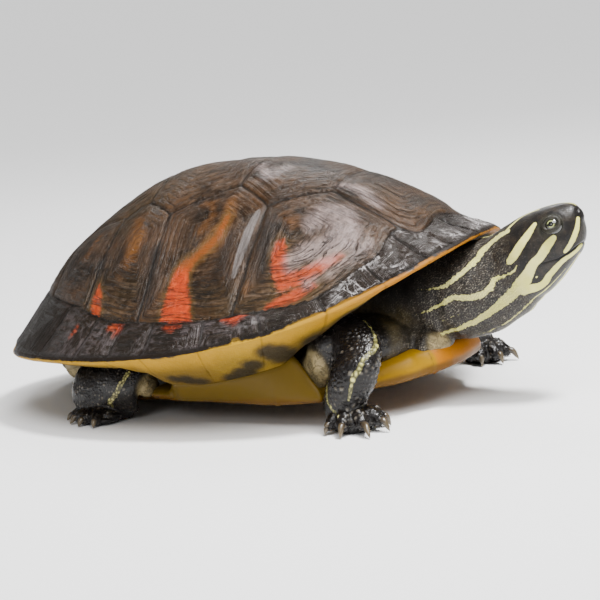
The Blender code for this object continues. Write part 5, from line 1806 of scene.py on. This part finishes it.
def shell_inside(places):
    """1 deep between the shells, 0 outside."""
    local = (places - MIDDLE) / SHELL_LENGTH
    return 1 - ease(np.hypot(local[:, 0] / 0.34, local[:, 1] / 0.26), 0.85, 1.0)


def soft_skin(local, leg):
    """Soft olive skin of the armpits, groin and root of the neck."""
    root = 1 - ease(local[:, 0], 90, 112)
    belly_side = 1 - ease(local[:, 2], 46, 60)
    groin = ease(-local[:, 0], 60, 90)
    return np.clip((np.maximum(root * belly_side, groin)) * (1 - leg), 0, 1)


# Eyes and claws

def make_eye(name, side, look):
    """One eye with a clear bulge over its iris."""
    centre, gaze, line, height = eye_axes(side)
    lean = np.linspace(0, math.pi, 48)[:, None]
    turns = circle(64)[None, :]
    reach = EYE_RADIUS * (1 + 0.045 * groove(lean, 0.55))
    along = reach * np.sin(lean) * np.cos(turns)
    across = reach * np.sin(lean) * np.sin(turns)
    out = reach * np.cos(lean) * np.ones_like(turns)
    places = (centre + line * along[..., None] + height * across[..., None] + gaze * out[..., None])
    thing = mesh_object(name, places.reshape(-1, 3), grid_faces(48, 64))
    offset = read_vectors(thing.data.vertices, "co") - centre
    local = np.stack([offset @ line, offset @ height, offset @ gaze], axis=-1) / MM
    set_values(thing.data, {"eye_place": local})
    thing.data.materials.append(eye_finish(look))
    return thing


def claw_pieces(stations, heading, toes, arch, side, share=1.0):
    """Claws of one foot, with how far out on the claw each vertex lies."""
    ankle = sided(stations[-1][:3], side)
    parts = []
    for toe in toes:
        _, _, tip, below, ahead = toe_line(ankle, heading, toe, side, arch)
        thickness, claw = toe[3], toe[4] * share
        start = tip - ahead * 0.6 + UP * 0.1
        bend = tip + ahead * claw * 0.45 + UP * thickness * 0.1
        middle = tip * (1, 1, 0.52) + ahead * claw * 0.8
        end = below + ahead * claw + UP * 0.5
        spots = [body_place(spot) for spot in (start, bend, middle, end)]
        places, faces = rod(spots, [thickness * part * MM for part in CLAW_TAPER], 14, 16)
        reach = np.linalg.norm(places - body_place(start), axis=1)
        parts.append((places, faces, reach / reach.max()))
    return parts


def make_claws(look):
    """All the claws as one piece."""
    parts = []
    for side, fore, heading, share in FORE_LIMBS:
        parts += claw_pieces(fore, heading, FORE_TOES, FORE_ARCH, side, share)
        parts += claw_pieces(HIND_LEG, HIND_HEADING * side, HIND_TOES[:4], HIND_ARCH, side)
    places, faces = join_pieces([part[:2] for part in parts])
    places[:, 2] = np.maximum(places[:, 2], 0.0001)
    data = raw_mesh("claws", places, faces)
    data.shade_smooth()
    set_values(data, {"out": np.concatenate([part[2] for part in parts])})
    data.materials.append(claw_finish(look))
    return linked("claws", data)


def add_lamp(name, place, aim, size, power):
    """A large soft light aimed at a place."""
    data = bpy.data.lights.new(name, "AREA")
    data.shape = "DISK"
    data.size = size
    data.energy = power
    lamp = linked(name, data)
    lamp.location = place
    lamp.rotation_mode = "QUATERNION"
    lamp.rotation_quaternion = (Vector(aim) - Vector(place)).to_track_quat("-Z", "Y")


def add_daylight(look):
    """Even light from above and around."""
    world = bpy.data.worlds.new("white_surroundings")
    world.use_nodes = True
    back = world.node_tree.nodes["Background"]
    back.inputs["Color"].default_value = (1.0, 1.0, 1.0, 1.0)
    back.inputs["Strength"].default_value = look.glow
    bpy.context.scene.world = world
    sun = bpy.data.lights.new("daylight", "SUN")
    sun.energy = look.sun_power
    sun.angle = SUN_WIDTH
    linked("daylight", sun).rotation_euler = SUN_TILT


def add_floor(look):
    """Pale floor under the soles."""
    half = FLOOR_HALF
    corners = [(-half, -half, 0), (half, -half, 0), (half, half, 0), (-half, half, 0)]
    floor = mesh_object("pale_floor", corners, [[0, 1, 2, 3]], False)
    floor.location.z = -FLOOR_DROP
    floor.data.materials.append(floor_finish(look))


def add_camera(look):
    """Camera at the photo's place."""
    data = bpy.data.cameras.new("camera")
    data.lens = look.lens
    data.sensor_width = 36.0
    data.clip_start = 0.01
    camera = linked("camera", data)
    right = Vector(CAMERA_RIGHT).normalized()
    behind = Vector(CAMERA_BACK).normalized()
    above = behind.cross(right).normalized()
    turn = Matrix((right, above, behind)).transposed()
    camera.matrix_world = Matrix.Translation(CAMERA_PLACE) @ turn.to_4x4()
    bpy.context.scene.camera = camera


# Sizes and colours that a user would change

def tint(name, description, default):
    """A colour that the panel shows."""
    return FloatVectorProperty(name=name, description=description, default=default,
                               subtype="COLOR", size=3, min=0.0, max=1.0)


def amount(name, description, default, low=0.0, unit="NONE"):
    """A number that the panel shows."""
    return FloatProperty(name=name, description=description, default=default, min=low, unit=unit)


class ShellLook(PropertyGroup):
    """Colours of the shell."""

    horn_dark: tint("Dark horn", "Darkest horn", (0.006, 0.003, 0.001))
    horn_brown: tint("Brown horn", "Browner horn", (0.056, 0.026, 0.01))
    horn_olive: tint("Olive horn", "More olive horn", (0.044, 0.028, 0.01))
    horn_grey: tint("Grey horn", "Greyer hairlines in the horn", (0.125, 0.082, 0.052))
    rim_slate: tint("Slate rim", "Grey mottles of the rim scutes", (0.062, 0.05, 0.05))
    warm_brown: tint("Warm patches", "Orange-brown patches", (0.15, 0.056, 0.01))
    bar_red: tint("Red bars", "Bars on the side scutes", (0.31, 0.026, 0.004))
    bar_pale: tint("Pale bars", "Paler part of the bars", (0.41, 0.055, 0.011))
    bar_brown: tint("Brown bars", "Duller upper ends of the bars", (0.19, 0.044, 0.007))
    bar_edge: tint("Bar edges", "Golden edges of the bars", (0.09, 0.05, 0.014))
    # worn growth ridges, and a painted sheen where they are raised on the front
    wear_and_sheen_grey: tint("Worn ridges", "Worn growth ridges", (0.2, 0.16, 0.14))
    # painted sheen: the colour of a silvery reflection painted on the horn
    painted_sheen_grey: tint("Silver sheen", "Silvery worn horn", (0.33, 0.255, 0.24))
    wear_pale: tint("Pale strip", "Bare strip beside a seam", (0.13, 0.114, 0.108))
    # painted glints: white highlights painted on the front rim
    painted_glint_white: tint("Flakes", "Glints of the front rim", (0.7, 0.66, 0.65))
    seam_dark: tint("Seams", "Seams between the scutes", (0.006, 0.005, 0.004))
    rim_orange: tint("Orange rim", "Underside in front", (0.28, 0.105, 0.000))
    rim_yellow: tint("Yellow rim", "Underside at the sides", (0.35, 0.185, 0.000))
    rim_olive: tint("Olive rim", "Duller part of the underside", (0.085, 0.048, 0.001))
    rim_pale: tint("Pale rim", "Paler part of the underside", (0.37, 0.225, 0.006))
    # dark smudges under the rim, also used for the painted shade inside the shell and beside the foreleg
    smudge_and_shade_dark: tint("Smudges", "Dark smudges under the rim", (0.011, 0.007, 0.001))
    belly_orange: tint("Belly", "Plastron in front", (0.31, 0.105, 0.000))
    belly_yellow: tint("Yellow belly", "Plastron behind its first seam", (0.13, 0.064, 0.000))
    belly_amber: tint("Amber belly", "Lower edge of the plastron", (0.09, 0.038, 0.001))
    belly_olive: tint("Bridge", "Bridge between the shells", (0.085, 0.05, 0.002))
    belly_brown: tint("Belly marks", "Brown marks of the plastron", (0.1, 0.05, 0.008))


class SkinLook(PropertyGroup):
    """Colours and fineness of the skin, eyes and claws."""

    skin_step: amount("Skin step", "Size of the skin's faces in millimetres", 0.62, 0.4)
    skin_dark: tint("Dark skin", "Darkest skin", (0.01, 0.009, 0.008))
    skin_grey: tint("Grey skin", "Greyer skin", (0.036, 0.027, 0.018))
    skin_speck: tint("Specks", "Pale grains of the skin", (0.3, 0.265, 0.21))
    # black skin of legs and head, also the painted shade under the shell, near the floor and in creases
    black_skin_and_shade: tint("Black skin", "Creases and soles", (0.005, 0.004, 0.004))
    fold_dark: tint("Dark folds", "Darkest soft skin", (0.034, 0.026, 0.013))
    fold_olive: tint("Olive folds", "Soft skin between the shells", (0.115, 0.085, 0.032))
    fold_pale: tint("Pale folds", "Palest soft skin", (0.33, 0.255, 0.12))
    lid_grey: tint("Lids", "Grey-green lids", (0.05, 0.05, 0.032))
    stripe_yellow: tint("Stripes", "Yellow of the stripes", (0.64, 0.61, 0.15))
    stripe_pale: tint("Pale stripes", "Paler yellow of the stripes", (0.73, 0.69, 0.25))
    stripe_shade: tint("Stripe shade", "Duller stripes low on the neck", (0.32, 0.27, 0.14))
    iris_yellow: tint("Yellow iris", "Iris", (0.4, 0.43, 0.14))
    iris_green: tint("Green iris", "Greener iris", (0.11, 0.125, 0.04))
    eye_rim: tint("Eye rim", "Dark rim of the iris", (0.012, 0.012, 0.008))
    eye_black: tint("Pupil", "Pupil and bar", (0.002, 0.002, 0.002))
    claw_dark: tint("Claw root", "Dark root of the claws", (0.018, 0.012, 0.008))
    claw_pink: tint("Claw tip", "Pinkish tip of the claws", (0.115, 0.085, 0.045))


class StageLook(PropertyGroup):
    """Floor, lights and lens."""

    floor: tint("Floor", "Pale floor", (0.9, 0.9, 0.9))
    sun_power: amount("Soft daylight", "Strength of the light from above", 3.7)
    key_power: amount("Key light", "Power of the light above the front", 22.0, 0.0, "POWER")
    fill_power: amount("Fill light", "Power of the light beside the camera", 4.0, 0.0, "POWER")
    glow: amount("Surroundings", "Strength of the white surroundings", 0.34)
    lens: amount("Lens", "Focal length of the camera", CAMERA_LENS, 10.0, "CAMERA")


# Operators

def settle(thing, slot, *nodes):
    """Let a piece ride on the body and stand for its nodes; its slot is not used."""
    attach(thing, "root")
    if nodes:
        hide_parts(*nodes)
    return thing


class TURTLE_OT_carapace(Operator):
    """Make the upper shell"""

    bl_idname = "turtle.carapace"
    bl_label = "Upper shell"

    def execute(self, context):
        settle(make_carapace(context.scene.turtle_shell), "carapace", "carapace")
        return {"FINISHED"}


class TURTLE_OT_plastron(Operator):
    """Make the lower shell"""

    bl_idname = "turtle.plastron"
    bl_label = "Lower shell"

    def execute(self, context):
        settle(make_plastron(context.scene.turtle_shell), "plastron", "plastron")
        return {"FINISHED"}


class TURTLE_OT_skin(Operator):
    """Make one skin over head, neck, legs and tail"""

    bl_idname = "turtle.skin"
    bl_label = "Skin"

    def execute(self, context):
        look = context.scene.turtle_skin
        thing = one_skin(look)
        smooth_joints(thing)
        refine_head(thing)
        skin_marks(thing)
        thing.data.shade_smooth()
        thing.data.materials.append(skin_finish(look))
        flesh = [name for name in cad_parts
                 if name not in ("carapace", "plastron", "eye_left", "eye_right")]
        settle(thing, "skin", *sorted(flesh))
        return {"FINISHED"}


class TURTLE_OT_eyes(Operator):
    """Make both eyes"""

    bl_idname = "turtle.eyes"
    bl_label = "Eyes"

    def execute(self, context):
        look = context.scene.turtle_skin
        settle(make_eye("left_eye", 1, look), "eye", "eye_left")
        settle(make_eye("right_eye", -1, look), "eye", "eye_right")
        return {"FINISHED"}


class TURTLE_OT_claws(Operator):
    """Make the claws of all four feet"""

    bl_idname = "turtle.claws"
    bl_label = "Claws"

    def execute(self, context):
        settle(make_claws(context.scene.turtle_skin), "skin")
        return {"FINISHED"}


class TURTLE_OT_stage(Operator):
    """Make the floor, the lights and the camera"""

    bl_idname = "turtle.stage"
    bl_label = "Stage"

    def execute(self, context):
        look = context.scene.turtle_stage
        add_floor(look)
        add_daylight(look)
        add_lamp("key_light", *KEY_LAMP, look.key_power)
        add_lamp("fill_light", *FILL_LAMP, look.fill_power)
        add_lamp("rear_light", *REAR_LAMP, look.fill_power)
        add_camera(look)
        return {"FINISHED"}


class TURTLE_PT_sidebar(Panel):
    """The turtle's pieces, sizes and colours"""

    bl_idname = "TURTLE_PT_sidebar"
    bl_label = "Turtle"
    bl_space_type = "VIEW_3D"
    bl_region_type = "UI"
    bl_category = "Turtle"

    def draw(self, context):
        for operator in OPERATORS:
            self.layout.operator(operator.bl_idname)
        for setting in SETTINGS:
            group = getattr(context.scene, setting)
            box = self.layout.box()
            for name in group.__annotations__:
                box.prop(group, name)


SETTINGS = {"turtle_shell": ShellLook, "turtle_skin": SkinLook, "turtle_stage": StageLook}
OPERATORS = (TURTLE_OT_stage, TURTLE_OT_carapace, TURTLE_OT_plastron, TURTLE_OT_skin,
             TURTLE_OT_eyes, TURTLE_OT_claws)
CLASSES = (*SETTINGS.values(), *OPERATORS, TURTLE_PT_sidebar)


def register():
    """Add the classes and the settings to Blender."""
    for thing in CLASSES:
        bpy.utils.register_class(thing)
    for setting, group in SETTINGS.items():
        setattr(bpy.types.Scene, setting, PointerProperty(type=group))


def unregister():
    """Take the classes and the settings away again."""
    for setting in SETTINGS:
        delattr(bpy.types.Scene, setting)
    for thing in reversed(CLASSES):
        bpy.utils.unregister_class(thing)


def main():
    """Make the whole scene and keep its sizes."""
    register()
    bpy.ops.turtle.stage()
    bpy.ops.turtle.carapace()
    bpy.ops.turtle.plastron()
    bpy.ops.turtle.skin()
    bpy.ops.turtle.eyes()
    bpy.ops.turtle.claws()
    bpy.context.view_layer.update()


if __name__ == "__main__":
    main()
